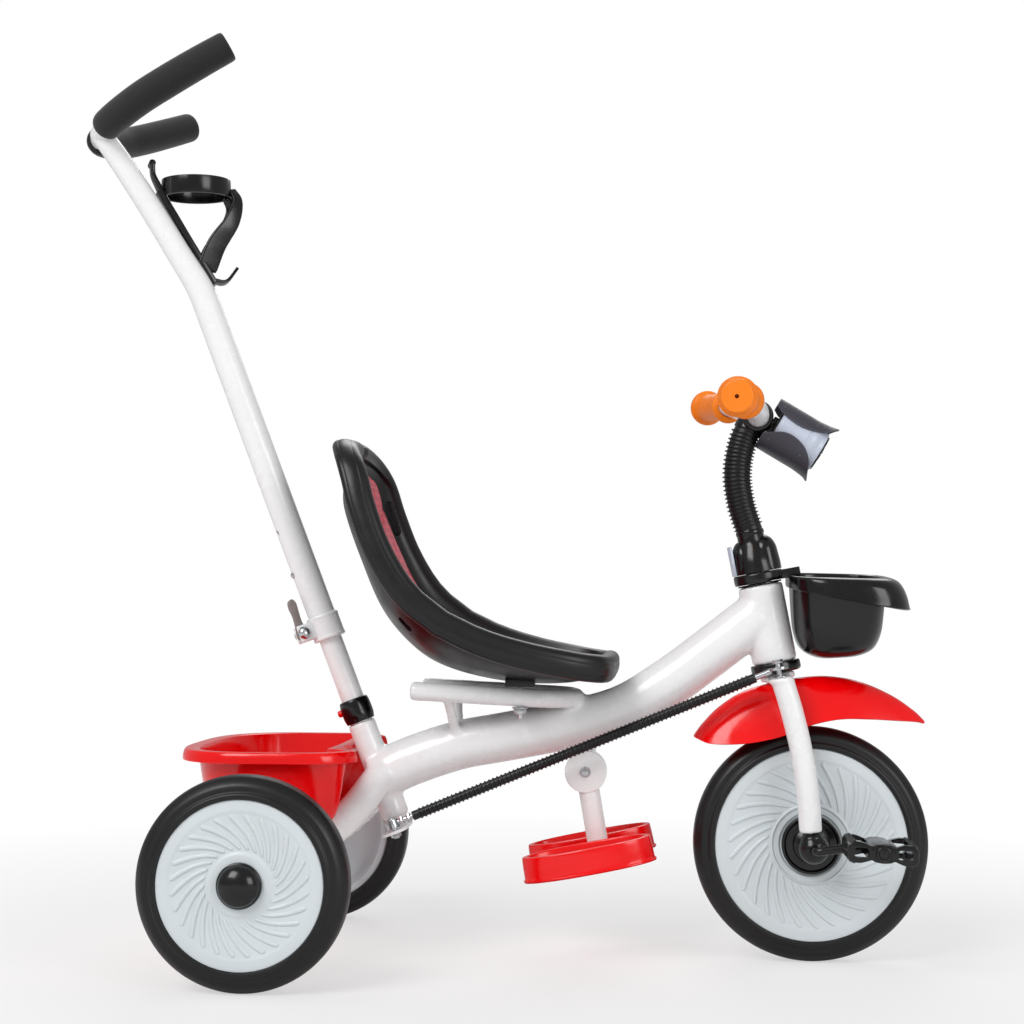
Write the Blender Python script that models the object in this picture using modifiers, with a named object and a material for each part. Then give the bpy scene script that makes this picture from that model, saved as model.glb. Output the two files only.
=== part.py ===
"""A child's tricycle with a push rod, a bucket seat, two baskets and a toy lamp.

Metres, +Z up, +X forwards, +Y to the rider's left. Each body that moves has an empty on its joint's
axis, and its pieces are placed in that empty's frame.
"""

from math import cos, pi, radians, sin

import bmesh
import bpy
from mathutils import Matrix, Vector

# Fits
GAP = 0.0003
RUNNING = 0.0004
PIVOT_CLEAR = 0.0034

# Wheels
FRONT_TYRE_R = 0.120
REAR_TYRE_R = 0.102
TYRE_WIDTH = 0.042
TYRE_DEPTH = 0.0235
WHEEL_SIDES = 24
REAR_TRACK = 0.400
REAR_AXLE_R = 0.006
HUB_CAP_R = 0.0215

# Frame
WHEELBASE = 0.542
CASTER = radians(10.6)
MAIN_TUBE_R = 0.0255
YOKE_TUBE_R = 0.0165
YOKE_HALF = 0.128
AXLE_TUBE_R = 0.0125
HEAD_TUBE_R = 0.023
HEAD_TUBE_BORE_R = 0.0195
HEAD_TUBE_LOW = 0.187
HEAD_TUBE_HIGH = 0.268
STEERER_R = 0.0125
STEERER_TOP = 0.318

# Seat
RAIL_R = 0.0098
RAIL_HALF = 0.049
RAIL_REAR = (0.136, 0.2735)
RAIL_FRONT = (0.262, 0.2670)
RAIL_NOSE = (0.311, 0.2665)
SEAT_WALL = 0.0032
SEAT_BOLT_X = 0.248
SEAT_BOLT_R = 0.0030
SEAT_PAD_LENGTH = 0.030
CUSHION_THICKNESS = 0.008

# Fork and front wheel axle
FORK_TUBE_R = 0.0115
FORK_HALF = 0.0465
FORK_BORE_R = 0.0085
CROWN_LOW = 0.168
CROWN_THICKNESS = 0.005
CROWN_HALF = 0.059
CRANK_R = 0.0045
CRANK_THROW = 0.0575
CRANK_HALF = 0.0700
CRANK_PITCH = radians(8.0)
PEDAL_TILT = radians(11.7)
PEDAL_LENGTH = 0.066
PEDAL_WIDTH = 0.062
PEDAL_THICKNESS = 0.020
PEDAL_WINDOW = 0.0165
PEDAL_WINDOW_X = 0.0195

# Push rod, measured along its own axis from the lever plate
ROD_FOOT = (0.119, 0.0, 0.131)
ROD_TILT = radians(21.0)
HANDLE_TURN = radians(27.0)
LOWER_ROD_R = 0.012
LOWER_ROD_TOP = 0.335
UPPER_ROD_R = 0.0145
UPPER_ROD_WALL = 0.0015
UPPER_ROD_LOW = 0.2125
UPPER_ROD_BORE_TOP = 0.560
SOCKET_R = 0.0145
SOCKET_LOW = 0.010
SOCKET_TOP = 0.1155
COLLAR_R = 0.0165
COLLAR_LENGTH = 0.026
COLLAR_BUTTON_R = 0.0037
COLLAR_BUTTON_HEIGHT = 0.1303
ROD_BUTTON_R = 0.0032
BUTTON_HEIGHT = 0.2837
HOLE_PITCH = 0.0473
CLAMP_PIVOT = (-0.0265, 0.0, 0.2225)
CLAMP_BOLT_R = 0.0027
EAR_HALF = 0.0065
EAR_THICKNESS = 0.0040
HANDLE_TUBE_R = 0.011
FOAM_R = 0.0160
FOAM_START = 1
LINK_ARM = 0.038
LEVER_PLATE = 0.003

# Handlebar and lamp, in the steering frame
BAR_CLAMP = (0.029, 0.0, 0.4406)
BAR_LEAN = radians(5.0)
BAR_SKEW = radians(2.0)
BAR_R = 0.011
BAR_HALF = 0.170
GRIP_LENGTH = 0.085
STEM_R = 0.011
HOSE_ROOT_R = 0.0132
HOSE_CREST_R = 0.0155
HOSE_RIBS = 25
STEM_STEPS = 2
SLEEVE_RIBS = 30
SLEEVE_ROOT_R = 0.0046
SLEEVE_CREST_R = 0.0057
LAMP_PIVOT = (0.0420, 0.0, 0.4300)
LAMP_DIP = radians(42.0)
LAMP_R = 0.026
LAMP_LENGTH = 0.050
BASKET_LEAN = radians(3.0)
BASKET_SEAT = (0.0290, 0.0, 0.2735)
BRACKET_R = 0.0255
BRACKET_TOP = 0.2808
STEM_COVER_R = 0.0232
TAB_PIVOT_R = 0.0262
TAB_PIVOT_Z = 0.2815
TAB_HEIGHT = 0.031
BASKET_TONGUE = (0.020, 0.022, 0.0095)
TONGUE_CENTRE = (0.0325, 0.0, 0.2750)

# Footrest
FOOT_PIVOT = (0.313, 0.0, 0.1896)
FOOT_DISC_R = 0.0215
FOOT_HUB_HALF = 0.0120
FOOT_BRACKET = 0.0060
FOOT_BOLT_R = 0.0030
FOOT_POST_R = 0.0108
FOOT_POST_TILT = radians(9.5)
FOOT_PITCH = radians(11.0)

FRONT_AXLE_Z = FRONT_TYRE_R * cos(pi / WHEEL_SIDES)
REAR_AXLE_Z = REAR_TYRE_R * cos(pi / WHEEL_SIDES)
CROWN_TOP = CROWN_LOW + CROWN_THICKNESS
COLLAR_TOP = SOCKET_TOP + COLLAR_LENGTH

FINISHES = {
    "white_paint": ((0.90, 0.90, 0.91), 0.25, 0.0),
    "steel": ((0.62, 0.63, 0.65), 0.30, 1.0),
    "red_plastic": ((0.90, 0.01, 0.01), 0.25, 0.0),
    "black_plastic": ((0.015, 0.015, 0.017), 0.30, 0.0),
    "black_foam": ((0.025, 0.025, 0.027), 0.85, 0.0),
    "tyre_foam": ((0.02, 0.02, 0.022), 0.55, 0.0),
    "grey_plastic": ((0.66, 0.71, 0.73), 0.35, 0.0),
    "orange_plastic": ((1.0, 0.25, 0.0), 0.35, 0.0),
    "red_fabric": ((0.60, 0.06, 0.08), 0.90, 0.0),
    "lamp_shell": ((0.56, 0.62, 0.72), 0.35, 0.0),
    "lamp_cover": ((0.045, 0.042, 0.055), 0.45, 0.0),
    "clear_lens": ((0.80, 0.85, 0.88), 0.10, 0.0),
}

bodies = {}
frames = {}
collections = {}


# Scene and materials

def clear_scene():
    for obj in list(bpy.data.objects):
        bpy.data.objects.remove(obj)


def make_collections():
    for name in ("tricycle", "cutters"):
        collection = bpy.data.collections.new(name)
        bpy.context.scene.collection.children.link(collection)
        collections[name] = collection


def finish_material(name):
    material = bpy.data.materials.get(name)
    if material is None:
        colour, roughness, metallic = FINISHES[name]
        material = bpy.data.materials.new(name)
        material.use_nodes = True
        surface = material.node_tree.nodes["Principled BSDF"]
        surface.inputs["Base Color"].default_value = (*colour, 1.0)
        surface.inputs["Roughness"].default_value = roughness
        surface.inputs["Metallic"].default_value = metallic
    return material


def make_body(name, matrix, parent=None):
    """Add an empty on a body's joint axis; matrix is its place in the tricycle's frame."""
    empty = bpy.data.objects.new(name, None)
    collections["tricycle"].objects.link(empty)
    if parent is None:
        empty.matrix_basis = matrix
    else:
        empty.parent = bodies[parent]
        empty.matrix_basis = frames[parent].inverted() @ matrix
    bodies[name] = empty
    frames[name] = matrix


def place(name, data, body, finish, matrix=None):
    obj = bpy.data.objects.new(name, data)
    collections["tricycle"].objects.link(obj)
    obj.parent = bodies[body]
    if matrix is not None:
        obj.matrix_basis = matrix
    data.materials.append(finish_material(finish))
    return obj


# Geometry helpers

def at(x, y, z):
    return Matrix.Translation((x, y, z))


def turn(angle, axis):
    return Matrix.Rotation(angle, 4, axis)


def aim(start, end):
    """A frame at start whose Z axis points at end."""
    direction = Vector(end) - Vector(start)
    return Matrix.Translation(start) @ direction.to_track_quat("Z", "Y").to_matrix().to_4x4()


def outboard(side):
    """Turn a wheel piece's Z axis outwards, with a flat facet at the bottom."""
    return turn(pi / WHEEL_SIDES, "Y") @ turn(-side * pi / 2, "X")


def smooth_path(points, steps):
    """Catmull-Rom samples through points of any dimension, ends included."""
    ends = [[2 * a - b for a, b in zip(points[0], points[1])]]
    tails = [[2 * a - b for a, b in zip(points[-1], points[-2])]]
    padded = ends + [list(p) for p in points] + tails
    samples = []
    for i in range(len(points) - 1):
        p0, p1, p2, p3 = padded[i:i + 4]
        for step in range(steps):
            t = step / steps
            samples.append(tuple(
                0.5 * (2 * b + (c - a) * t + (2 * a - 5 * b + 4 * c - d) * t * t
                       + (3 * b - a - 3 * c + d) * t ** 3)
                for a, b, c, d in zip(p0, p1, p2, p3)))
    samples.append(tuple(points[-1]))
    return samples


def turned(name, body, finish, profile, matrix=None, steps=20, ring=False):
    """Spin (radius, height) points, top down the outer side; a ring's outline closes on itself."""
    count = len(profile)
    edges = [(i, (i + 1) % count) for i in range(count if ring else count - 1)]
    mesh = bpy.data.meshes.new(name)
    mesh.from_pydata([(r, 0.0, z) for r, z in profile], edges, [])
    obj = place(name, mesh, body, finish, matrix)
    screw = obj.modifiers.new("Spin", "SCREW")
    screw.steps = steps
    screw.render_steps = steps
    screw.use_merge_vertices = True
    screw.merge_threshold = 0.00001
    return obj


def cylinder(name, body, finish, radius, low, high, matrix=None, steps=18):
    profile = [(0.0, high), (radius, high), (radius, low), (0.0, low)]
    return turned(name, body, finish, profile, matrix, steps)


def pipe(name, body, finish, points, radius, sides=12, matrix=None, radii=None):
    """A filled tube along points; radii scale it point by point."""
    curve = bpy.data.curves.new(name, "CURVE")
    curve.dimensions = "3D"
    curve.bevel_depth = radius
    curve.bevel_resolution = (sides - 4) // 2
    curve.use_fill_caps = True
    spline = curve.splines.new("POLY")
    spline.points.add(len(points) - 1)
    for i, point in enumerate(points):
        spline.points[i].co = (*point, 1.0)
        spline.points[i].radius = radii[i] if radii else 1.0
    return place(name, curve, body, finish, matrix)


def plate(name, body, finish, outline, thickness, matrix=None, holes=()):
    """A flat outline in XY, filled and extruded evenly about its plane."""
    curve = bpy.data.curves.new(name, "CURVE")
    curve.dimensions = "2D"
    curve.fill_mode = "BOTH"
    curve.extrude = thickness / 2
    for loop in (outline, *holes):
        spline = curve.splines.new("POLY")
        spline.points.add(len(loop) - 1)
        for point, (x, y) in zip(spline.points, loop):
            point.co = (x, y, 0.0, 1.0)
        spline.use_cyclic_u = True
    return place(name, curve, body, finish, matrix)


def circle(radius, count=16, centre=(0.0, 0.0)):
    return [(centre[0] + radius * cos(2 * pi * i / count), centre[1] + radius * sin(2 * pi * i / count))
            for i in range(count)]


def slab(half_x, half_y, radius, corner=4):
    """A rectangle's outline with round corners."""
    outline = []
    for quarter, (sx, sy) in enumerate(((1, 1), (-1, 1), (-1, -1), (1, -1))):
        for i in range(corner + 1):
            angle = pi / 2 * (quarter + i / corner)
            outline.append((sx * (half_x - radius) + radius * cos(angle),
                            sy * (half_y - radius) + radius * sin(angle)))
    return outline


def box(name, body, finish, size, matrix=None):
    mesh = bpy.data.meshes.new(name)
    builder = bmesh.new()
    bmesh.ops.create_cube(builder, size=1.0, matrix=Matrix.Diagonal((*size, 1.0)))
    builder.to_mesh(mesh)
    builder.free()
    return place(name, mesh, body, finish, matrix)


def sheet(name, body, finish, surface, rows, columns, wall, matrix=None, flip=False):
    """An open grid shaped by surface(u, v), thickened by wall; seams that meet are welded."""
    mesh = bpy.data.meshes.new(name)
    builder = bmesh.new()
    bmesh.ops.create_grid(builder, x_segments=rows, y_segments=columns, size=0.5)
    for vert in builder.verts:
        vert.co = surface(vert.co.x + 0.5, vert.co.y + 0.5)
    bmesh.ops.remove_doubles(builder, verts=builder.verts, dist=0.00001)
    if flip:
        bmesh.ops.reverse_faces(builder, faces=builder.faces)
    builder.to_mesh(mesh)
    builder.free()
    obj = place(name, mesh, body, finish, matrix)
    solidify = obj.modifiers.new("Wall", "SOLIDIFY")
    solidify.thickness = wall
    solidify.offset = -1.0
    solidify.use_even_offset = True
    solidify.thickness_clamp = 1.0
    return obj


def as_mesh(obj):
    """Turn a curve into a welded mesh in the same place, so that it can be cut or joined."""
    if obj.type == "MESH":
        return obj
    evaluated = obj.evaluated_get(bpy.context.evaluated_depsgraph_get())
    mesh = bpy.data.meshes.new_from_object(evaluated)
    builder = bmesh.new()
    builder.from_mesh(mesh)
    bmesh.ops.remove_doubles(builder, verts=builder.verts, dist=0.000001)
    bmesh.ops.recalc_face_normals(builder, faces=builder.faces)
    builder.to_mesh(mesh)
    builder.free()
    name = obj.name
    solid = bpy.data.objects.new(name + "_mesh", mesh)
    collections["tricycle"].objects.link(solid)
    solid.parent = obj.parent
    solid.matrix_basis = obj.matrix_basis.copy()
    bpy.data.objects.remove(obj)
    solid.name = name
    return solid


def hide_tool(obj):
    tool = as_mesh(obj)
    collections["tricycle"].objects.unlink(tool)
    collections["cutters"].objects.link(tool)
    tool.hide_render = True
    tool.display_type = "WIRE"
    return tool


def boolean(obj, tools, operation):
    solid = as_mesh(obj)
    for tool in tools:
        modifier = solid.modifiers.new(operation.title(), "BOOLEAN")
        modifier.operation = operation
        modifier.object = hide_tool(tool)
    return solid


def join(obj, *tools):
    return boolean(obj, tools, "UNION")


def cut(obj, *tools):
    return boolean(obj, tools, "DIFFERENCE")


def shade_round():
    """Smooth the round pieces and keep their hard edges."""
    for obj in collections["tricycle"].objects:
        if obj.type == "MESH":
            obj.data.shade_smooth()
            obj.data.set_sharp_from_angle(angle=radians(35))


# Bodies and their joint axes

def make_bodies():
    make_body("frame_body", Matrix.Identity(4))
    for name, side in (("rear_wheel_right_body", -1), ("rear_wheel_left_body", 1)):
        make_body(name, at(0.0, side * REAR_TRACK / 2, REAR_AXLE_Z), "frame_body")
    steering = at(WHEELBASE, 0.0, FRONT_AXLE_Z) @ turn(-CASTER, "Y")
    make_body("steering", steering, "frame_body")
    make_body("front_wheel_body", at(WHEELBASE, 0.0, FRONT_AXLE_Z), "steering")
    crank = frames["front_wheel_body"] @ turn(-CRANK_PITCH, "Y")
    for name, side in (("pedal_right_body", -1), ("pedal_left_body", 1)):
        spindle = at(-side * CRANK_THROW, side * (CRANK_HALF + 0.038), 0.0)
        make_body(name, crank @ spindle, "front_wheel_body")
    bar = steering @ at(*BAR_CLAMP) @ turn(BAR_SKEW, "Z") @ turn(BAR_LEAN, "X")
    make_body("bar_frame", bar, "steering")
    make_body("lamp_tilt_body", steering @ at(*LAMP_PIVOT) @ turn(pi / 2 + LAMP_DIP, "Y"), "steering")
    make_body("lock_tab_body", steering @ at(-TAB_PIVOT_R, 0.0, TAB_PIVOT_Z), "steering")
    basket = steering @ at(*BASKET_SEAT) @ turn(CASTER, "Y") @ turn(BASKET_LEAN, "X")
    make_body("basket_frame", basket, "steering")
    rod_axis = at(*ROD_FOOT) @ turn(-ROD_TILT, "Y")
    make_body("push_rod", rod_axis @ turn(HANDLE_TURN, "Z"), "frame_body")
    make_body("upper_rod_body", frames["push_rod"] @ at(0.0, 0.0, UPPER_ROD_LOW), "push_rod")
    make_body("clamp_lever_body", frames["push_rod"] @ at(*CLAMP_PIVOT), "upper_rod_body")
    make_body("rod_button_body", frames["push_rod"] @ at(-UPPER_ROD_R, 0.0, BUTTON_HEIGHT),
              "upper_rod_body")
    make_body("collar_button_body", rod_axis @ at(-COLLAR_R, 0.0, COLLAR_BUTTON_HEIGHT), "frame_body")
    make_body("rod_socket", rod_axis, "frame_body")
    make_body("link_body", rod_axis @ at(0.0, -LINK_ARM, 0.0), "push_rod")
    make_body("footrest_body", at(*FOOT_PIVOT), "frame_body")
    make_body("steering_fixed", steering, "frame_body")
    make_body("upper_rod_frame", frames["push_rod"], "upper_rod_body")


# Wheels

def tyre(name, body, radius, matrix):
    """A foam tyre: a nearly flat tread, round shoulders and a lip round the disc."""
    half = TYRE_WIDTH / 2
    inner = radius - TYRE_DEPTH
    profile = [
        (inner + 0.001, half - 0.001), (inner + 0.005, half), (radius - 0.0060, half - 0.0035),
        (radius, half - 0.0110), (radius, 0.0110 - half), (radius - 0.0060, 0.0035 - half),
        (inner + 0.005, -half), (inner + 0.001, 0.001 - half),
    ]
    return turned(name, body, "tyre_foam", profile, matrix, WHEEL_SIDES, ring=True)


def rim_radius(tyre_radius):
    return tyre_radius - TYRE_DEPTH + 0.001 - GAP


def build_rear_wheels():
    half = TYRE_WIDTH / 2
    rim = rim_radius(REAR_TYRE_R)
    bore = REAR_AXLE_R + RUNNING
    for label, side in (("right", -1), ("left", 1)):
        body = f"rear_wheel_{label}_body"
        tyre(f"rear_tyre_{label}", body, REAR_TYRE_R, outboard(side))
        profile = [
            (0.020, half - 0.004), (0.032, half - 0.004), (0.036, half - 0.009), (0.066, half - 0.008),
            (0.069, half - 0.0025), (rim, half - 0.0025), (rim, 0.004 - half), (0.022, half - 0.016),
            (0.022, -half - 0.002), (bore, -half - 0.002), (bore, half - 0.012), (0.020, half - 0.012),
        ]
        turned(f"rear_wheel_{label}", body, "grey_plastic", profile, outboard(side), WHEEL_SIDES, True)
        cap = [
            (0.0, half + 0.012), (0.012, half + 0.0098), (0.0195, half + 0.004),
            (HUB_CAP_R, half - 0.004 + GAP), (0.0197, half - 0.004 + GAP), (0.0197, half - 0.008),
            (0.0, half - 0.008),
        ]
        turned(f"hub_cap_{label}", body, "black_plastic", cap, outboard(side), 16)


def build_front_wheel():
    half = TYRE_WIDTH / 2
    rim = rim_radius(FRONT_TYRE_R)
    tyre("front_tyre", "front_wheel_body", FRONT_TYRE_R, outboard(-1))
    hub_r = 0.0300
    core = 0.0140
    profile = [
        (core, half - 0.010), (0.034, half - 0.010), (0.037, half - 0.004), (0.045, half - 0.008),
        (rim, half - 0.0025), (rim, 0.0025 - half), (0.045, 0.008 - half), (0.037, 0.004 - half),
        (0.034, 0.010 - half), (core, 0.010 - half),
    ]
    turned("front_wheel", "front_wheel_body", "grey_plastic", profile, outboard(-1), WHEEL_SIDES, True)
    bore = CRANK_R + GAP
    face = half - 0.010 + GAP
    spool = [
        (0.0115, half + 0.007), (0.0115, half + 0.002), (hub_r, half - 0.002), (hub_r, face),
        (core - GAP, face), (core - GAP, -face), (hub_r, -face), (hub_r, 0.002 - half),
        (0.0115, -half - 0.002), (0.0115, -half - 0.007), (bore, -half - 0.007), (bore, half + 0.007),
    ]
    turned("front_hub", "front_wheel_body", "black_plastic", spool, outboard(-1), 12, True)
    reach = CRANK_HALF + 0.072
    route = [(CRANK_THROW, -reach, 0.0), (CRANK_THROW, -CRANK_HALF - 0.004, 0.0),
             (CRANK_THROW - 0.004, -CRANK_HALF, 0.0), (0.004, -CRANK_HALF, 0.0),
             (0.0, 0.004 - CRANK_HALF, 0.0), (0.0, CRANK_HALF - 0.004, 0.0), (-0.004, CRANK_HALF, 0.0),
             (0.004 - CRANK_THROW, CRANK_HALF, 0.0), (-CRANK_THROW, CRANK_HALF + 0.004, 0.0),
             (-CRANK_THROW, reach, 0.0)]
    pipe("crank_axle", "front_wheel_body", "black_plastic", route, CRANK_R, 10, turn(-CRANK_PITCH, "Y"))


def build_pedals():
    """A moulded pedal: a boss round the spindle, two windows through it and two at each end."""
    for label in ("right", "left"):
        name = f"pedal_{label}"
        body = f"{name}_body"
        lean = turn(PEDAL_TILT, "Y")
        block = box(name, body, "black_plastic", (PEDAL_LENGTH, PEDAL_WIDTH, PEDAL_THICKNESS), lean)
        bevel = block.modifiers.new("Round", "BEVEL")
        bevel.width = 0.004
        bevel.segments = 1
        tools = [cylinder(name + "_bore", body, "steel", CRANK_R + RUNNING, -0.05, 0.05,
                          turn(pi / 2, "X"), 16)]
        for end in (-1, 1):
            centre = lean @ at(end * PEDAL_WINDOW_X, 0.0, 0.0)
            window = (PEDAL_WINDOW, PEDAL_WIDTH - 0.016, 0.05)
            slot = (PEDAL_WINDOW - 0.004, 0.1, PEDAL_THICKNESS - 0.0115)
            tools.append(box(f"{name}_window_{end}", body, "steel", window, centre))
            tools.append(box(f"{name}_slot_{end}", body, "steel", slot, centre))
        cut(block, *tools)


# Frame

def yoke_route():
    half = [(0.1120, 0.0, 0.1930), (0.0980, 0.020, 0.1800), (0.0780, 0.050, 0.1520),
            (0.0420, 0.095, 0.1200), (0.0, YOKE_HALF, REAR_AXLE_Z)]
    left = smooth_path(half, 2)[1:]
    right = [(x, -y, z) for x, y, z in reversed(left)]
    return right + left


def rail_route():
    rear_x, rear_z = RAIL_REAR
    front_x, front_z = RAIL_FRONT
    nose_x, nose_z = RAIL_NOSE
    side = [(rear_x, RAIL_HALF, rear_z), (front_x, RAIL_HALF, front_z)]
    for i in range(1, 5):
        angle = pi / 2 * i / 4
        blend = sin(angle)
        side.append((front_x + (nose_x - front_x) * blend, RAIL_HALF * cos(angle),
                     front_z + (nose_z - front_z) * blend))
    right = [(x, -y, z) for x, y, z in reversed(side)]
    return side + right[1:]


def build_frame():
    """One weldment: main tube, head tube, yoke, axle tube, rod socket, seat rails and struts."""
    main = [(0.0990, 0.0, 0.1840), (0.1300, 0.0, 0.1980), (0.1800, 0.0, 0.2150), (0.2236, 0.0, 0.2234),
            (0.2860, 0.0, 0.2355), (0.3483, 0.0, 0.2520), (0.3950, 0.0, 0.2790), (0.4309, 0.0, 0.3050),
            (0.4700, 0.0, 0.3350), (0.4920, 0.0, 0.3520)]
    frame = pipe("frame", "frame_body", "white_paint", main, MAIN_TUBE_R, 12)
    head = cylinder("frame_head", "steering", "white_paint", HEAD_TUBE_R, HEAD_TUBE_LOW, HEAD_TUBE_HIGH)
    yoke = pipe("frame_yoke", "frame_body", "white_paint", yoke_route(), YOKE_TUBE_R, 8)
    axle_tube = cylinder("frame_axle_tube", "frame_body", "white_paint", AXLE_TUBE_R, -YOKE_HALF - 0.022,
                         YOKE_HALF + 0.022, at(0.0, 0.0, REAR_AXLE_Z) @ turn(pi / 2, "X"), 16)
    socket = cylinder("frame_socket", "rod_socket", "white_paint", SOCKET_R, SOCKET_LOW, SOCKET_TOP)
    rails = pipe("frame_rails", "frame_body", "white_paint", rail_route(), RAIL_R, 10)
    struts = []
    for label, side in (("right", -1), ("left", 1)):
        foot = (0.1795, side * 0.012, 0.2250)
        struts.append(pipe(f"frame_strut_{label}", "frame_body", "white_paint",
                           [(0.1735, side * RAIL_HALF, 0.2700), foot], 0.0055, 8))
    join(frame, head, yoke, axle_tube, socket, rails, *struts)
    head_bore = cylinder("head_bore", "steering", "steel", HEAD_TUBE_BORE_R, HEAD_TUBE_LOW - 0.02,
                         HEAD_TUBE_HIGH + 0.02)
    rod_bore = cylinder("rod_bore", "rod_socket", "steel", LOWER_ROD_R + RUNNING, SOCKET_LOW - 0.03,
                        SOCKET_TOP + 0.03)
    axle_bore = cylinder("axle_bore", "frame_body", "steel", REAR_AXLE_R + GAP, -0.3, 0.3,
                         at(0.0, 0.0, REAR_AXLE_Z) @ turn(pi / 2, "X"), 12)
    bolt_bores = [cylinder(f"seat_bolt_bore_{side}", "frame_body", "steel", SEAT_BOLT_R + GAP, -0.03, 0.03,
                           at(SEAT_BOLT_X, side * RAIL_HALF, rail_height(SEAT_BOLT_X)), 8)
                  for side in (-1, 1)]
    cut(as_named("frame"), head_bore, rod_bore, axle_bore, *bolt_bores)


def as_named(name):
    return bpy.data.objects[name]


def rail_height(x):
    rear_x, rear_z = RAIL_REAR
    front_x, front_z = RAIL_FRONT
    return rear_z + (front_z - rear_z) * (x - rear_x) / (front_x - rear_x)


def build_rear_axle():
    reach = REAR_TRACK / 2 + TYRE_WIDTH / 2 - 0.0085
    cylinder("rear_axle", "frame_body", "steel", REAR_AXLE_R, -reach, reach,
             at(0.0, 0.0, REAR_AXLE_Z) @ turn(pi / 2, "X"), 12)


def build_head_bushes():
    bore = STEERER_R + RUNNING
    sleeve = HEAD_TUBE_BORE_R - GAP
    low = HEAD_TUBE_LOW
    profile = [(sleeve, low + 0.014), (sleeve, low - GAP), (0.0255, low - GAP), (0.0255, low - 0.0085),
               (0.0235, low - 0.0105), (bore, low - 0.0105), (bore, low + 0.014)]
    turned("head_bush_lower", "steering_fixed", "black_plastic", profile, steps=18, ring=True)
    top = HEAD_TUBE_HIGH
    profile = [(0.0225, top + 0.002), (0.0225, top + GAP), (sleeve, top + GAP), (sleeve, top - 0.014),
               (bore, top - 0.014), (bore, top + 0.002)]
    turned("head_bush_upper", "steering_fixed", "black_plastic", profile, steps=18, ring=True)


# Seat

SEAT_STATIONS = [
    # back or bottom line x, z; rim x, z; half width
    (0.0495, 0.5010, 0.0510, 0.5030, 0.052),
    (0.0500, 0.5130, 0.0530, 0.5160, 0.055),
    (0.0600, 0.5190, 0.0660, 0.5225, 0.065),
    (0.0625, 0.4980, 0.0860, 0.5000, 0.086),
    (0.0620, 0.4600, 0.1060, 0.4590, 0.104),
    (0.0800, 0.4080, 0.1230, 0.4210, 0.112),
    (0.1040, 0.3540, 0.1470, 0.3830, 0.116),
    (0.1370, 0.3160, 0.1800, 0.3520, 0.119),
    (0.1720, 0.2960, 0.2230, 0.3300, 0.120),
    (0.2230, 0.2835, 0.2680, 0.3170, 0.115),
    (0.2730, 0.2800, 0.3060, 0.3095, 0.101),
    (0.3180, 0.2815, 0.3300, 0.3070, 0.074),
    (0.3400, 0.2895, 0.3390, 0.3040, 0.052),
    (0.3470, 0.2880, 0.3465, 0.2950, 0.046),
]
SEAT_REACHES = [-1.0, -0.93, -0.86, -0.66, -0.44, -0.22, 0.0, 0.22, 0.44, 0.66, 0.86, 0.93, 1.0]
CUSHION_REACHES = [-0.44, -0.22, 0.0, 0.22, 0.44]
CUSHION_ROWS = (4, 11)
SEAT_TROUGH = 0.86
LIP_OUT = 0.010
LIP_DOWN = 0.018


def seat_point(row, reach, inset=0.0):
    """The bucket's outer face: an elliptical trough across, with a lip turned out and down."""
    base_x, base_z, rim_x, rim_z, half = SEAT_STATIONS[row]
    depth = Vector((rim_x - base_x, 0.0, rim_z - base_z))
    along = depth.normalized()
    side = -1.0 if reach < 0 else 1.0
    angle = min(abs(reach) / SEAT_TROUGH, 1.0) * pi / 2
    point = Vector((base_x, 0.0, base_z)) + along * inset + depth * (1 - cos(angle))
    point.y = side * (half - inset) * sin(angle)
    past = (abs(reach) - SEAT_TROUGH) / (1 - SEAT_TROUGH)
    if past > 0:
        depth_share = min(depth.length / 0.04, 1.0)
        point.y += side * LIP_OUT * min(past * 2, 1.0) * depth_share
        point -= along * LIP_DOWN * max(past * 2 - 1, 0.0) * depth_share
    return point


def build_seat():
    rows = len(SEAT_STATIONS) - 1
    columns = len(SEAT_REACHES) - 1

    def surface(u, v):
        return seat_point(round(u * rows), SEAT_REACHES[round(v * columns)])

    shell = sheet("seat_shell", "frame_body", "black_plastic", surface, rows, columns, SEAT_WALL, flip=True)
    pads = []
    bores = []
    for side in (-1, 1):
        top = 0.2868
        low = rail_height(SEAT_BOLT_X - SEAT_PAD_LENGTH / 2) + RAIL_R + GAP
        spot = at(SEAT_BOLT_X, side * RAIL_HALF, (top + low) / 2)
        pads.append(box(f"seat_pad_{side}", "frame_body", "black_plastic",
                        (SEAT_PAD_LENGTH, 0.013, top - low), spot))
        bores.append(cylinder(f"seat_pad_bore_{side}", "frame_body", "steel", SEAT_BOLT_R + GAP, -0.03,
                              0.0065, at(SEAT_BOLT_X, side * RAIL_HALF, low), 8))
    join(shell, *pads)
    cut(shell, *bores)


def build_cushion():
    """A thin padded liner along the middle of the bucket."""
    first, last = CUSHION_ROWS
    rows = last - first
    columns = len(CUSHION_REACHES) - 1

    def surface(u, v):
        return seat_point(first + round(u * rows), CUSHION_REACHES[round(v * columns)], SEAT_WALL * 1.8)

    obj = sheet("seat_cushion", "frame_body", "red_fabric", surface, rows, columns, CUSHION_THICKNESS)
    obj.modifiers["Wall"].offset = 1.0


def build_seat_bolts():
    for label, side in (("right", -1), ("left", 1)):
        seat = rail_height(SEAT_BOLT_X) - RAIL_R - GAP
        shank = cylinder(f"seat_bolt_{label}", "frame_body", "steel", SEAT_BOLT_R, seat - 0.012,
                         rail_height(SEAT_BOLT_X) + RAIL_R + 0.006, at(SEAT_BOLT_X, side * RAIL_HALF, 0.0),
                         8)
        nut = cylinder(f"seat_nut_{label}", "frame_body", "steel", 0.0068, seat - 0.0065, seat,
                       at(SEAT_BOLT_X, side * RAIL_HALF, 0.0), 6)
        join(shank, nut)


# Baskets

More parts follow.
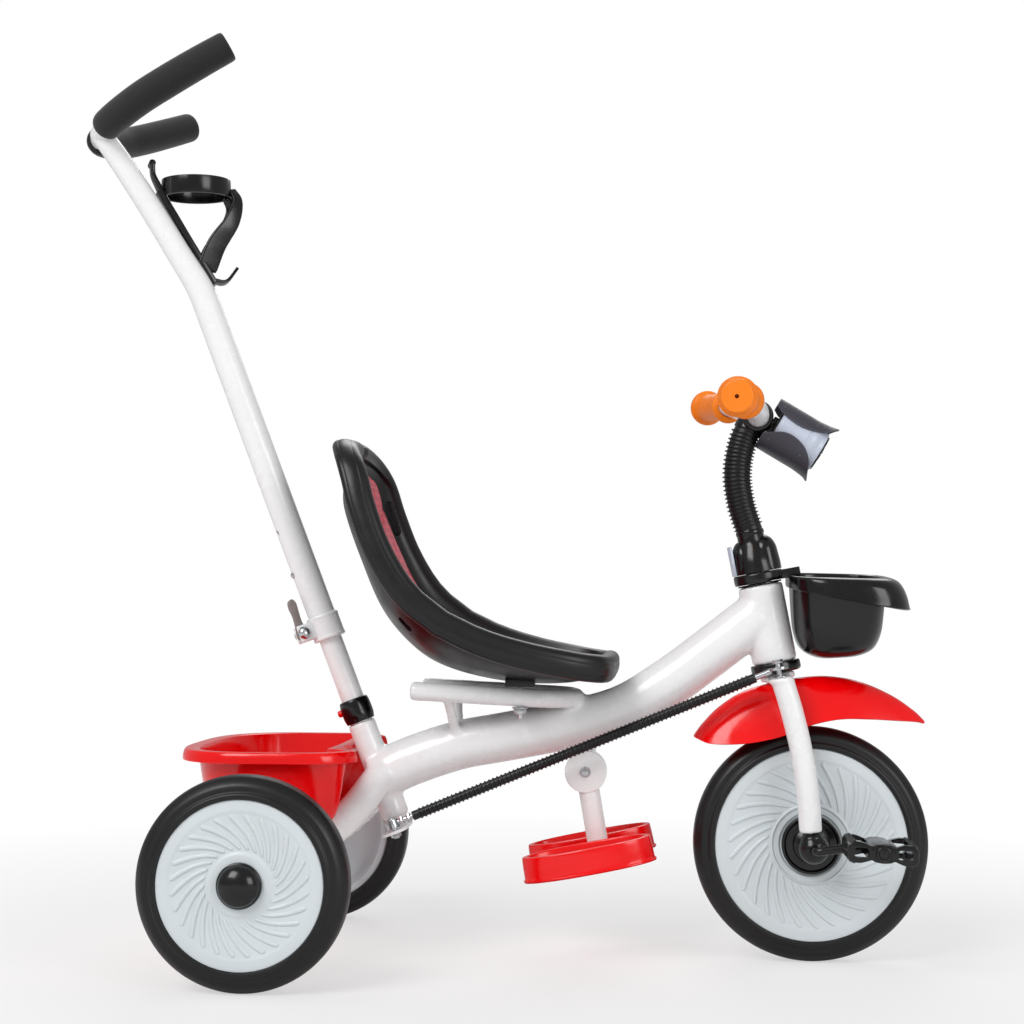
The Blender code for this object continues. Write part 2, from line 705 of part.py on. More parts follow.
def ring_point(x_back, x_front, half, z_back, z_front, angle, power):
    """A point on a rounded rectangle that can lean from back to front."""
    c = cos(angle)
    s = sin(angle)
    x = (x_back + x_front) / 2 + (x_front - x_back) / 2 * (abs(c) ** power) * (1 if c >= 0 else -1)
    y = half * (abs(s) ** power) * (1 if s >= 0 else -1)
    blend = (x - x_back) / (x_front - x_back) if x_front > x_back else 0.5
    return Vector((x, y, z_back + (z_front - z_back) * blend))


def tub_surface(rings, power):
    def surface(u, v):
        ring = rings[round(u * (len(rings) - 1))]
        return ring_point(*ring, 2 * pi * round(v, 6), power)
    return surface


def build_front_basket():
    rings = [
        (0.0000, 0.1220, 0.0760, -0.0130, -0.0340), (0.0000, 0.1130, 0.0720, -0.0010, -0.0110),
        (0.0040, 0.0980, 0.0640, 0.0000, -0.0020), (0.0080, 0.0930, 0.0590, -0.0520, -0.0520),
        (0.0160, 0.0830, 0.0490, -0.0770, -0.0745), (0.0300, 0.0690, 0.0340, -0.0820, -0.0795),
        (0.0500, 0.0500, 0.0000, -0.0825, -0.0800),
    ]
    tub = sheet("front_basket", "basket_frame", "black_plastic", tub_surface(rings, 0.62), len(rings) - 1,
                20, 0.0022)
    fit = [size + 2 * GAP for size in BASKET_TONGUE]
    cut(tub, box("basket_tongue_slot", "steering", "steel", fit, at(*TONGUE_CENTRE)))


def rear_ring(x_back, x_front, x_notch, half, z, angle):
    """A basket outline: round behind, square in front, drawn back in the middle round the socket."""
    c = cos(angle)
    s = sin(angle)
    y = half * abs(s) ** 0.6 * (1 if s >= 0 else -1)
    middle = (x_back + x_front) / 2
    if c < 0:
        return Vector((middle - (middle - x_back) * abs(c) ** 0.75, y, z))
    blend = min(max((abs(y) - 0.078) / 0.026, 0.0), 1.0)
    front = x_notch + (x_front - x_notch) * blend
    return Vector((middle + (front - middle) * c ** 0.45, y, z))


def build_rear_basket():
    rings = [
        (-0.0960, 0.0990, 0.0685, 0.1420, 0.2080), (-0.0945, 0.0975, 0.0675, 0.1410, 0.2155),
        (-0.0840, 0.0890, 0.0590, 0.1310, 0.2160), (-0.0730, 0.0850, 0.0460, 0.1250, 0.1800),
        (-0.0640, 0.0800, 0.0340, 0.1180, 0.1520), (-0.0520, 0.0300, 0.0240, 0.1030, 0.1400),
        (-0.0150, -0.0150, -0.0150, 0.0000, 0.1400),
    ]
    count = len(rings) - 1

    def surface(u, v):
        return rear_ring(*rings[round(u * count)], 2 * pi * round(v, 6))

    tub = sheet("rear_basket", "frame_body", "red_plastic", surface, count, 24, 0.0024)
    low = REAR_AXLE_Z + AXLE_TUBE_R + GAP
    feet = [box(f"basket_foot_{side}", "frame_body", "red_plastic", (0.016, 0.020, 0.1415 - low),
                at(-0.001, side * 0.050, (0.1415 + low) / 2)) for side in (-1, 1)]
    join(tub, *feet)


# Fork, fender and link bracket

def build_fork():
    fork = cylinder("fork", "steering", "white_paint", STEERER_R, CROWN_LOW, STEERER_TOP)
    boss = cylinder("fork_boss", "steering", "white_paint", 0.018, CROWN_LOW + 0.001, 0.1758)
    crown = plate("fork_crown", "steering", "white_paint", slab(0.0125, CROWN_HALF, 0.0125), CROWN_THICKNESS,
                  at(0.0, 0.0, CROWN_LOW + CROWN_THICKNESS / 2))
    legs = []
    for side in (-1, 1):
        route = smooth_path([(0.001, side * FORK_HALF, CROWN_TOP - 0.002), (0.0045, side * FORK_HALF, 0.1365),
                             (0.0062, side * FORK_HALF, 0.0937), (0.0040, side * FORK_HALF, 0.0500),
                             (0.0, side * FORK_HALF, 0.0165)], 1)
        legs.append(pipe(f"fork_leg_{side}", "steering", "white_paint", route, FORK_TUBE_R, 10))
    join(fork, boss, crown, *legs)
    holes = [cylinder(f"fork_plug_{side}", "steering", "steel", FORK_BORE_R, 0.0, 0.034,
                      at(0.0, side * FORK_HALF, 0.0), 12) for side in (-1, 1)]
    cut(as_named("fork"), *holes)


def build_axle_blocks():
    """Black ball-shaped ends that plug into the fork legs and carry the cranked axle."""
    for label, side in (("right", -1), ("left", 1)):
        name = f"axle_block_{label}"
        spot = at(0.0, side * FORK_HALF, 0.0)
        ball = [(0.0, 0.0145)]
        for i in range(6):
            angle = 1.20 - (1.20 + pi / 2) * i / 5
            ball.append((max(0.0155 * cos(angle), 0.0), 0.0155 * sin(angle)))
        ball[-1] = (0.0, -0.0155)
        block = turned(name, "steering", "black_plastic", ball, spot, 12)
        plug = cylinder(name + "_plug", "steering", "black_plastic", FORK_BORE_R - GAP, 0.010, 0.030, spot,
                        12)
        join(block, plug)
        cut(block, cylinder(name + "_bore", "steering", "steel", CRANK_R + RUNNING, -0.05, 0.05,
                            spot @ turn(pi / 2, "X"), 12))


def build_fender():
    stations = [
        # forwards of the steering axis, spine height, edge height, half width
        (-0.0950, 0.1290, 0.1270, 0.0080), (-0.0840, 0.1395, 0.1200, 0.0240),
        (-0.0660, 0.1520, 0.1160, 0.0310), (-0.0400, 0.1630, 0.1130, 0.0330),
        (-0.0100, 0.1672, 0.1140, 0.0330), (0.0230, 0.1674, 0.1200, 0.0325),
        (0.0530, 0.1630, 0.1215, 0.0310), (0.0820, 0.1510, 0.1170, 0.0260),
        (0.1090, 0.1300, 0.1120, 0.0160), (0.1290, 0.1085, 0.1065, 0.0040),
    ]

    def surface(u, v):
        forward, spine, edge, half = stations[round(u * (len(stations) - 1))]
        across = 2 * v - 1
        return Vector((forward, half * across, spine - (spine - edge) * abs(across) ** 2.2))

    sheet("fender", "steering", "red_plastic", surface, len(stations) - 1, 8, 0.0022)


def build_link_bracket():
    """A steel plate on the crown with the bolt that the link's front eye hangs on."""
    low = CROWN_TOP + GAP
    bracket = plate("link_bracket", "steering", "steel", slab(0.0060, 0.0130, 0.005), BRACKET_THICKNESS,
                    at(0.0, -LINK_ARM - 0.002, low + BRACKET_THICKNESS / 2))
    spot = at(0.0, -LINK_ARM, 0.0)
    eye_high = LINK_EYE + LINK_EYE_HALF
    shank = cylinder("link_bolt", "steering", "steel", 0.0025, low + 0.001, eye_high + PIVOT_CLEAR + 0.003,
                     spot, 12)
    head = cylinder("link_bolt_head", "steering", "steel", 0.0055, eye_high + PIVOT_CLEAR,
                    eye_high + PIVOT_CLEAR + 0.004, spot, 6)
    join(bracket, shank, head)


BRACKET_THICKNESS = 0.0012
EYE_LIFT = 0.0029
LINK_EYE_HALF = 0.0015
LINK_EYE = CROWN_TOP + GAP + BRACKET_THICKNESS + EYE_LIFT + PIVOT_CLEAR + LINK_EYE_HALF


# Stem, handlebar and lamp

def stem_route():
    points = [(0.0, 0.0, 0.3262), (-0.0022, 0.0, 0.3400), (-0.0035, 0.0, 0.3560), (-0.0025, 0.0, 0.3786),
              (0.0028, 0.0, 0.4000), (0.0125, 0.0, 0.4205), (0.0240, 0.0, 0.4355)]
    return [(0.0, 0.0, STEERER_TOP + GAP)] + smooth_path(points, STEM_STEPS)


def build_stem():
    route = stem_route()
    tube = route[:-1]
    pipe("stem_tube", "steering", "steel", tube, STEM_R, 10)
    cover = [
        (0.0138, 0.3250), (0.0138, 0.3125), (0.0185, 0.3030), (0.0220, 0.2920),
        (STEM_COVER_R, BRACKET_TOP + 0.0004), (STEERER_R + GAP, BRACKET_TOP + 0.0004),
        (STEERER_R + GAP, 0.3250),
    ]
    turned("stem_cover", "steering", "black_plastic", cover, steps=18, ring=True)
    ring_low = HEAD_TUBE_HIGH + 0.0024
    bracket = [(BRACKET_R, BRACKET_TOP), (BRACKET_R, ring_low), (STEERER_R + GAP, ring_low),
               (STEERER_R + GAP, BRACKET_TOP)]
    ring = turned("basket_bracket", "steering", "black_plastic", bracket, steps=18, ring=True)
    tongue = box("bracket_tongue", "steering", "black_plastic", BASKET_TONGUE, at(*TONGUE_CENTRE))
    join(ring, tongue)
    tab_outline = []
    for radius, sign in ((TAB_PIVOT_R, 1), (STEM_COVER_R + 0.0005, -1)):
        tab_outline += [(-radius * cos(a), radius * sin(a)) for a in
                        [sign * radians(-24 + 8 * i) for i in range(7)]]
    tab_shift = at(TAB_PIVOT_R, 0.0, BRACKET_TOP + GAP + TAB_HEIGHT / 2 - TAB_PIVOT_Z)
    plate("stem_lock_tab", "lock_tab_body", "lamp_shell", tab_outline, TAB_HEIGHT, tab_shift)


def build_stem_hose():
    """The ribbed hose over the stem, with plain ends and a bore."""
    route = stem_route()
    low = 0.3285
    high = 0.4200
    dense = smooth_path(route, 6)
    inside = [p for p in dense if low <= p[2] <= high]
    lengths = [0.0]
    for a, b in zip(inside, inside[1:]):
        lengths.append(lengths[-1] + (Vector(b) - Vector(a)).length)

    def along(distance):
        for i in range(1, len(lengths)):
            if lengths[i] >= distance:
                blend = (distance - lengths[i - 1]) / (lengths[i] - lengths[i - 1])
                return tuple(Vector(inside[i - 1]).lerp(Vector(inside[i]), blend))
        return inside[-1]

    end = 0.004
    span = lengths[-1] - 2 * end
    points = [along(0.0)]
    radii = [HOSE_ROOT_R]
    for i in range(HOSE_RIBS):
        for part, radius in ((0.25, HOSE_ROOT_R), (0.75, HOSE_CREST_R)):
            points.append(along(end + span * (i + part) / HOSE_RIBS))
            radii.append(radius)
    points.append(along(lengths[-1]))
    radii.append(HOSE_ROOT_R)
    hose = pipe("stem_hose", "steering", "black_plastic", points, 1.0, 8, radii=radii)
    core = pipe("stem_hose_bore", "steering", "steel", route, STEM_R + 2 * GAP, 10)
    cut(hose, core)


def bar_points():
    """Half of the handlebar in its clamp's frame: middle, bend and the straight grip end."""
    middle = [(0.0, 0.022, 0.0), (-0.0030, 0.045, 0.0060)]
    grip = [(-0.0160, 0.082, 0.0165), (-0.0330, BAR_HALF, 0.0205)]
    return middle, grip


def build_handlebar():
    middle, grip = bar_points()
    half = smooth_path(middle + grip[:1], 2)
    half.append(grip[1])
    mirrored = [(x, -y, z) for x, y, z in reversed(half)]
    pipe("handlebar", "bar_frame", "white_paint", mirrored + half, BAR_R, 10)
    bore = BAR_R + 3 * GAP
    for label, side in (("right", -1), ("left", 1)):
        end = Vector((grip[1][0], side * grip[1][1], grip[1][2]))
        start = Vector((grip[0][0], side * grip[0][1], grip[0][2]))
        frame = aim(end, end + (end - start))
        length = GRIP_LENGTH
        profile = [
            (0.0, 0.0085), (0.0150, 0.0085), (0.0168, 0.0065), (0.0168, 0.0030), (0.0198, 0.0005),
            (0.0198, -0.0030), (0.0140, -0.0080), (0.0144, -length * 0.5), (0.0140, 0.0080 - length),
            (0.0185, 0.0045 - length), (0.0185, 0.0010 - length), (0.0165, -length), (bore, -length),
            (bore, GAP), (0.0, GAP),
        ]
        turned(f"grip_{label}", "bar_frame", "orange_plastic", profile, frame, 12)


def build_bar_clamp():
    """The black clamp: a barrel round the bar, a ferrule over the stem's end and two lamp ears."""
    barrel = cylinder("bar_clamp", "bar_frame", "black_plastic", 0.0165, -0.019, 0.019, turn(pi / 2, "X"), 18)
    route = stem_route()
    ferrule_route = [Vector(route[-3]), Vector(route[-2]), Vector(route[-1])]
    ferrule = pipe("bar_clamp_ferrule", "steering", "black_plastic", ferrule_route, 0.0150, 10)
    ears = []
    pivot = Vector(LAMP_PIVOT)
    for side in (-1, 1):
        ears.append(cylinder(f"bar_clamp_ear_{side}", "steering", "black_plastic", 0.0046, -0.0025, 0.0025,
                             at(pivot.x, side * 0.0096, pivot.z) @ turn(pi / 2, "X"), 12))
        ears.append(box(f"bar_clamp_arm_{side}", "steering", "black_plastic", (0.016, 0.005, 0.010),
                        at(pivot.x - 0.008, side * 0.0096, pivot.z + 0.001)))
    join(barrel, ferrule, *ears)
    route_core = [Vector(p) for p in stem_route()[:-1]]
    tail = route_core[-1] + (route_core[-1] - route_core[-2]).normalized() * GAP
    core = pipe("bar_clamp_stem_bore", "steering", "steel", [*route_core, tail], STEM_R + 2 * GAP, 10)
    bar_bore = cylinder("bar_clamp_bar_bore", "bar_frame", "steel", BAR_R + 2 * GAP, -0.03, 0.03,
                        turn(pi / 2, "X"), 14)
    gap = box("bar_clamp_gap", "steering", "steel", (0.017, 0.0142, 0.030),
              at(pivot.x + 0.002, 0.0, pivot.z - 0.002))
    cut(barrel, core, bar_bore, gap)


LAMP_BACK = 0.0070
COVER_CLEAR = 0.0011


def build_lamp():
    knuckle = cylinder("lamp_bracket", "lamp_tilt_body", "black_plastic", 0.0042, -0.0066, 0.0066,
                       turn(pi / 2, "X"), 12)
    web = box("lamp_bracket_web", "lamp_tilt_body", "black_plastic", (0.0070, 0.0120, 0.0045),
              at(0.0, 0.0, 0.0030))
    flange = cylinder("lamp_bracket_flange", "lamp_tilt_body", "black_plastic", 0.0150, LAMP_BACK - 0.0018,
                      LAMP_BACK - GAP, steps=16)
    join(knuckle, web, flange)
    front = LAMP_BACK + LAMP_LENGTH
    shell = [
        (0.0, LAMP_BACK + 0.0020), (LAMP_R - 0.0040, LAMP_BACK + 0.0030), (LAMP_R - 0.0030, front - 0.0120),
        (0.0155, front - 0.0040), (0.0155, front + 0.0030), (0.0185, front + 0.0030), (0.0190, front),
        (0.0225, front - 0.0040), (LAMP_R, front - 0.0100), (LAMP_R, LAMP_BACK + 0.0030),
        (LAMP_R - 0.0020, LAMP_BACK), (0.0, LAMP_BACK),
    ]
    turned("lamp_body", "lamp_tilt_body", "lamp_shell", shell, steps=16)
    lens = [(0.0, front + 0.0045), (0.0080, front + 0.0035), (0.0152, front), (0.0152, front - 0.0015),
            (0.0, front - 0.0015)]
    turned("lamp_lens", "lamp_tilt_body", "clear_lens", lens, steps=16)
    upper = [(0.001, 50.0, 0.0), (0.007, 60.0, 0.0), (0.018, 66.0, 0.0), (0.030, 66.0, 0.0),
             (0.042, 59.0, 0.0), (0.053, 48.0, 0.0010), (0.059, 28.0, 0.0020), (0.064, 4.0, 0.0030)]
    lower = [(0.002, 62.0, 0.0), (0.009, 72.0, 0.0), (0.018, 85.0, 0.0), (0.030, 86.0, 0.0),
             (0.042, 78.0, 0.0), (0.053, 58.0, 0.0010), (0.058, 32.0, 0.0020), (0.062, 5.0, 0.0040)]

    for label, centre, rows in (("upper", pi, upper), ("lower", 0.0, lower)):
        def surface(u, v):
            height, spread, flare = rows[round(u * (len(rows) - 1))]
            angle = centre + radians(spread) * (2 * v - 1)
            radius = LAMP_R + COVER_CLEAR + flare
            return Vector((radius * cos(angle), radius * sin(angle), height))

        cover = sheet(f"lamp_cover_{label}", "lamp_tilt_body", "lamp_cover", surface, len(rows) - 1, 8,
                      0.0014, flip=True)
        cover.modifiers["Wall"].offset = 1.0


# Footrest

def build_footrest():
    pivot_x, _, pivot_z = FOOT_PIVOT
    outline = [(-0.021, 0.0300), (0.0085, 0.0260), (0.0120, 0.0)]
    outline += [(0.012 * cos(a), 0.012 * sin(a)) for a in [-pi * i / 8 for i in range(1, 8)]]
    outline += [(-0.0120, 0.0)]
    plate("footrest_bracket", "frame_body", "white_paint", outline, FOOT_BRACKET,
          at(pivot_x, 0.0, pivot_z) @ turn(pi / 2, "X"), holes=[circle(FOOT_BOLT_R + 2 * GAP, 12)])
    cut_top = pipe("bracket_seat", "frame_body", "steel",
                   [(0.2236, 0.0, 0.2234), (0.2860, 0.0, 0.2355), (0.3483, 0.0, 0.2520),
                    (0.3950, 0.0, 0.2790)], MAIN_TUBE_R + GAP, 16)
    cut(as_named("footrest_bracket"), cut_top)
    lean = turn(-FOOT_POST_TILT, "Y")
    post = cylinder("footrest_arm", "footrest_body", "white_paint", FOOT_POST_R, -0.0800, -0.0100, lean, 16)
    hub = cylinder("footrest_hub", "footrest_body", "white_paint", FOOT_DISC_R, -FOOT_HUB_HALF,
                   FOOT_HUB_HALF, turn(pi / 2, "X"), 20)
    join(post, hub)
    slot = box("footrest_slot", "footrest_body", "steel", (0.070, FOOT_BRACKET + 0.0008, 0.070),
               at(0.0, 0.0, 0.0165))
    bore = cylinder("footrest_bore", "footrest_body", "steel", FOOT_BOLT_R + GAP, -0.03, 0.03,
                    turn(pi / 2, "X"), 12)
    cut(post, slot, bore)
    face = FOOT_HUB_HALF + GAP
    pin = cylinder("footrest_bolt", "footrest_body", "steel", FOOT_BOLT_R, -face - 0.0042, face + 0.0032,
                   turn(pi / 2, "X"), 12)
    head = cylinder("footrest_bolt_head", "footrest_body", "steel", 0.0055, face, face + 0.0037,
                    turn(pi / 2, "X"), 6)
    nut = cylinder("footrest_bolt_nut", "footrest_body", "steel", 0.0055, -face - 0.0037, -face,
                   turn(pi / 2, "X"), 6)
    join(pin, head, nut)
    build_foot_trays()


def build_foot_trays():
    """One moulding: two long dishes either side of a block that takes the post."""
    rings = [
        (-0.0680, 0.0660, 0.0310, 0.0000, 0.0000), (-0.0680, 0.0660, 0.0310, 0.0240, 0.0240),
        (-0.0610, 0.0590, 0.0250, 0.0240, 0.0240), (-0.0550, 0.0530, 0.0200, 0.0030, 0.0030),
        (0.0, 0.0, 0.0, 0.0020, 0.0020),
    ]
    spot = at(0.0070, 0.0, -0.0940) @ turn(-FOOT_PITCH, "Y")
    surface = tub_surface(rings, 0.72)
    dishes = []
    for side in (-1, 1):
        dishes.append(sheet(f"foot_dish_{side}", "footrest_body", "red_plastic", surface, len(rings) - 1, 14,
                            0.0020, spot @ at(0.0, side * 0.0480, 0.0)))
    block = box("foot_trays", "footrest_body", "red_plastic", (0.0420, 0.0420, 0.0180),
                spot @ at(0.0060, 0.0, 0.0090))
    join(block, *dishes)
    lean = turn(-FOOT_POST_TILT, "Y")
    cut(block, cylinder("foot_post_hole", "footrest_body", "steel", FOOT_POST_R + GAP, -0.0803, -0.0300,
                        lean, 16))


# Push rod

def upper_rod_route():
    straight = [(0.0, 0.0, UPPER_ROD_LOW), (0.0, 0.0, 0.4000), (0.0, 0.0, 0.5700)]
    bend = [(0.0, 0.0, 0.5950), (-0.0020, 0.0, 0.6150), (-0.0095, 0.0, 0.6500), (-0.0220, 0.0, 0.7100),
            (-0.0350, 0.0, 0.7650), (-0.0440, 0.0, 0.7950)]
    return straight + bend


def handle_route(side):
    points = [(-0.0450, 0.0, 0.7970), (-0.0370, side * 0.0280, 0.7985), (-0.0100, side * 0.0580, 0.8036),
              (0.0200, side * 0.0760, 0.8093), (0.0540, side * 0.0915, 0.8158),
              (0.0877, side * 0.1045, 0.8220)]
    return smooth_path(points, 2)


def build_lower_rod():
    """The turning inner tube with its lever plate and the pivot that the link hangs on."""
    rod = cylinder("lower_rod", "push_rod", "white_paint", LOWER_ROD_R, -0.002, LOWER_ROD_TOP, steps=20)
    lever_turn = turn(-HANDLE_TURN, "Z")
    lever = plate("lever_plate", "push_rod", "white_paint", slab(0.0135, 0.0340, 0.0130), LEVER_PLATE,
                  lever_turn @ at(0.0, -0.0190, -LEVER_PLATE / 2))
    pivot = cylinder("lever_pivot", "push_rod", "steel", 0.0030, -0.0085, 0.0125,
                     lever_turn @ at(0.0, -LINK_ARM, 0.0), 12)
    cap = cylinder("lever_pivot_cap", "push_rod", "steel", 0.0055, -0.0070, -LEVER_PLATE + 0.0005,
                   lever_turn @ at(0.0, -LINK_ARM, 0.0), 6)
    join(rod, lever, pivot, cap)


def build_upper_rod():
    route = upper_rod_route()
    radii = [1.0] * (len(route) - 5) + [0.97, 0.90, 0.86, 0.83, 0.77]
    rod = pipe("upper_rod", "upper_rod_frame", "white_paint", route, UPPER_ROD_R, 14, radii=radii)
    right = handle_route(-1)
    left = handle_route(1)
    handle = pipe("handle_tube", "upper_rod_frame", "white_paint", right[-2::-1] + left[1:-1],
                  HANDLE_TUBE_R, 10)
    join(rod, handle)
    bore = cylinder("upper_rod_bore", "push_rod", "steel", UPPER_ROD_R - UPPER_ROD_WALL, UPPER_ROD_LOW - 0.02,
                    UPPER_ROD_BORE_TOP, steps=16)
    holes = [cylinder(f"upper_rod_hole_{height}", "push_rod", "steel", ROD_BUTTON_R + GAP, -0.008, 0.008,
                      at(-UPPER_ROD_R, 0.0, height) @ turn(pi / 2, "Y"), 12)
             for height in (BUTTON_HEIGHT, BUTTON_HEIGHT + HOLE_PITCH)]
    cut(as_named("upper_rod"), bore, *holes)
    for label, path in (("right", right), ("left", left)):
        foam = pipe(f"handle_foam_{label}", "upper_rod_frame", "black_foam", path[FOAM_START:], FOAM_R, 10)
        tail = Vector(path[-1]) + (Vector(path[-1]) - Vector(path[-2])) * 2
        core = pipe(f"handle_foam_{label}_bore", "upper_rod_frame", "steel",
                    [*path[FOAM_START - 1:], tail], HANDLE_TUBE_R + 3 * GAP, 10)
        cut(foam, core)


def build_rod_button():
    face = ROD_BUTTON_R
    profile = [(0.0, 0.0022), (face - 0.001, 0.0020), (face, 0.0008), (face, -0.0014), (0.0, -0.0014)]
    turned("rod_button", "rod_button_body", "steel", profile, turn(-pi / 2, "Y"), 12)


def build_rod_clamp():
    """A clamp band on the upper rod's foot, with ears for the lever's bolt."""
    low = 0.2040
    high = 0.2390
    seat = UPPER_ROD_LOW
    band = [(0.0180, high), (0.0180, low), (LOWER_ROD_R + RUNNING, low), (LOWER_ROD_R + RUNNING, seat - GAP),
            (UPPER_ROD_R + 2 * GAP, seat - GAP), (UPPER_ROD_R + 2 * GAP, high)]
    clamp = turned("rod_clamp", "push_rod", "white_paint", band, steps=16, ring=True)
    clamp.parent = bodies["upper_rod_frame"]
    ears = []
    for side in (-1, 1):
        ears.append(box(f"rod_clamp_ear_{side}", "push_rod", "white_paint", (0.0180, EAR_THICKNESS, 0.0240),
                        at(CLAMP_PIVOT[0] + 0.002, side * EAR_HALF, CLAMP_PIVOT[2])))
    join(clamp, *ears)
    cut(clamp, cylinder("rod_clamp_bore", "push_rod", "steel", CLAMP_BOLT_R + GAP, -0.03, 0.03,
                        at(*CLAMP_PIVOT) @ turn(pi / 2, "X"), 12))
    face = EAR_HALF + EAR_THICKNESS / 2 + GAP
    bolt = [(0.0, face + 0.0052), (0.0040, face + 0.0044), (0.0064, face + 0.0022), (0.0068, face),
            (CLAMP_BOLT_R, face), (CLAMP_BOLT_R, -face), (0.0060, -face), (0.0060, -face - 0.0032),
            (0.0, -face - 0.0032)]
    turned("clamp_bolt", "upper_rod_frame", "steel", bolt, at(*CLAMP_PIVOT) @ turn(pi / 2, "X"), 12)
    outline = [(-0.0060, -0.0050), (0.0030, -0.0060), (0.0055, 0.0), (0.0035, 0.0140), (0.0040, 0.0440),
               (-0.0010, 0.0490), (-0.0060, 0.0440), (-0.0055, 0.0160)]
    plate("clamp_lever", "clamp_lever_body", "grey_plastic", outline, 2 * EAR_HALF - EAR_THICKNESS - 2 * GAP,
          turn(pi / 2, "X"), holes=[circle(CLAMP_BOLT_R + RUNNING, 12)])


def build_collar():
    low = SOCKET_TOP + GAP
    bore = LOWER_ROD_R + RUNNING
    profile = [(0.0145, COLLAR_TOP), (COLLAR_R, COLLAR_TOP - 0.003), (COLLAR_R, low), (bore, low),
               (bore, COLLAR_TOP)]
    collar = turned("socket_collar", "rod_socket", "black_plastic", profile, steps=16, ring=True)
    cut(collar, cylinder("collar_button_bore", "rod_socket", "steel", COLLAR_BUTTON_R + GAP, -0.008, 0.008,
                         at(-COLLAR_R, 0.0, COLLAR_BUTTON_HEIGHT) @ turn(pi / 2, "Y"), 14))
    face = COLLAR_BUTTON_R
    button = [(0.0, 0.0040), (face - 0.001, 0.0036), (face, 0.0020), (face, -0.0016), (0.0, -0.0016)]
    turned("collar_button", "collar_button_body", "red_plastic", button, turn(-pi / 2, "Y"), 14)


def cage_frame():
    """The bottle cage's own frame: Z up the rod's bent part, X forwards, origin on the rod's surface."""
    return at(0.0118, 0.0, 0.6100) @ turn(-radians(10.8), "Y")


def build_bottle_cage():
    """A moulded holder: back strip with a hook, a tilted band, two struts and a bottom tongue."""
    spot = cage_frame()
    front = 0.0060

    def rib(name, points, radius):
        return pipe(name, "upper_rod_frame", "black_plastic", points, radius, 6, spot)

    base = box("bottle_cage", "upper_rod_frame", "black_plastic", (0.0042, 0.0150, 0.1180),
               spot @ at(front - 0.0021, 0.0, 0.0550))
    hook = rib("cage_hook", [(front - 0.002, 0.0, 0.106), (front, 0.0, 0.124), (front + 0.003, 0.0, 0.135),
                             (front + 0.010, 0.0, 0.147)], 0.0034)
    ring_r = 0.0355
    band_turn = spot @ at(front + ring_r - 0.0015, 0.0, 0.0975) @ turn(radians(27), "Y")
    profile = [(ring_r, 0.0085), (ring_r, -0.0085), (ring_r - 0.0028, -0.0085), (ring_r - 0.0028, 0.0085)]
    band = turned("cage_band", "upper_rod_frame", "black_plastic", profile, band_turn, 20, True)
    struts = []
    for side in (-1, 1):
        struts.append(rib(f"cage_strut_{side}", [
            (front + 0.0650, side * 0.0120, 0.0760), (front + 0.0560, side * 0.0150, 0.0600),
            (front + 0.0320, side * 0.0140, 0.0380), (front + 0.0150, side * 0.0070, 0.0180),
            (front + 0.0020, side * 0.0030, 0.0010)], 0.0042))
    tongue = rib("cage_tongue", [(front - 0.0020, 0.0, 0.0010), (front + 0.0100, 0.0, -0.0070),
                                 (front + 0.0290, 0.0, 0.0010)], 0.0028)
    join(base, band, hook, tongue, *struts)


# Steering link

def link_ends():
    """The link's rear pivot and front eye, in the tricycle's frame."""
    rear = frames["link_body"] @ Vector((0.0, 0.0, 0.0065))
    front = frames["steering"] @ Vector((0.0, -LINK_ARM, LINK_EYE))
    return rear, front


def build_link():
    rear, front = link_ends()
    inverse = frames["link_body"].inverted()
    start = inverse @ rear
    end = inverse @ front
    frame = aim(start, end)
    length = (end - start).length
    rod = cylinder("link_rod", "link_body", "steel", 0.0030, 0.0, length - 0.008, frame, 10)
    block = cylinder("link_block", "link_body", "steel", 0.0070, -0.0050, 0.0050, at(0.0, 0.0, start.z), 12)
    steer_in_link = inverse @ frames["steering"]
    eye = cylinder("link_eye", "link_body", "steel", 0.0100, -LINK_EYE_HALF, LINK_EYE_HALF,
                   steer_in_link @ at(0.0, -LINK_ARM, LINK_EYE), 16)
    nuts = [cylinder(f"link_nut_{i}", "link_body", "steel", 0.0055, z, z + 0.004, frame, 6)
            for i, z in enumerate((0.0085, 0.0165))]
    join(rod, block, eye, *nuts)
    pin_hole = cylinder("link_pin_hole", "link_body", "steel", 0.0030 + RUNNING, -0.03, 0.03, None, 12)
    eye_hole = cylinder("link_eye_hole", "link_body", "steel", 0.0068, -0.01, 0.01,
                        steer_in_link @ at(0.0, -LINK_ARM, LINK_EYE), 12)
    cut(rod, pin_hole, eye_hole)
    build_sleeve(frame, length)


def build_sleeve(frame, length):
    """The ribbed sleeve over the link: two points a rib, plain ends, and a bore."""
    low = 0.0230
    high = length - 0.0250
    end = 0.0100
    pitch = (high - low - 2 * end) / SLEEVE_RIBS
    points = [(0.0, 0.0, low)]
    radii = [SLEEVE_ROOT_R]
    for i in range(SLEEVE_RIBS):
        for part, radius in ((0.25, SLEEVE_ROOT_R), (0.75, SLEEVE_CREST_R)):
            points.append((0.0, 0.0, low + end + pitch * (i + part)))
            radii.append(radius)
    points.append((0.0, 0.0, high))
    radii.append(SLEEVE_ROOT_R)
    sleeve = pipe("link_sleeve", "link_body", "black_plastic", points, 1.0, 8, frame, radii)
    bore = cylinder("sleeve_bore", "link_body", "steel", 0.0030 + 0.0004, low - 0.01, high + 0.01, frame, 8)
    cut(sleeve, bore)


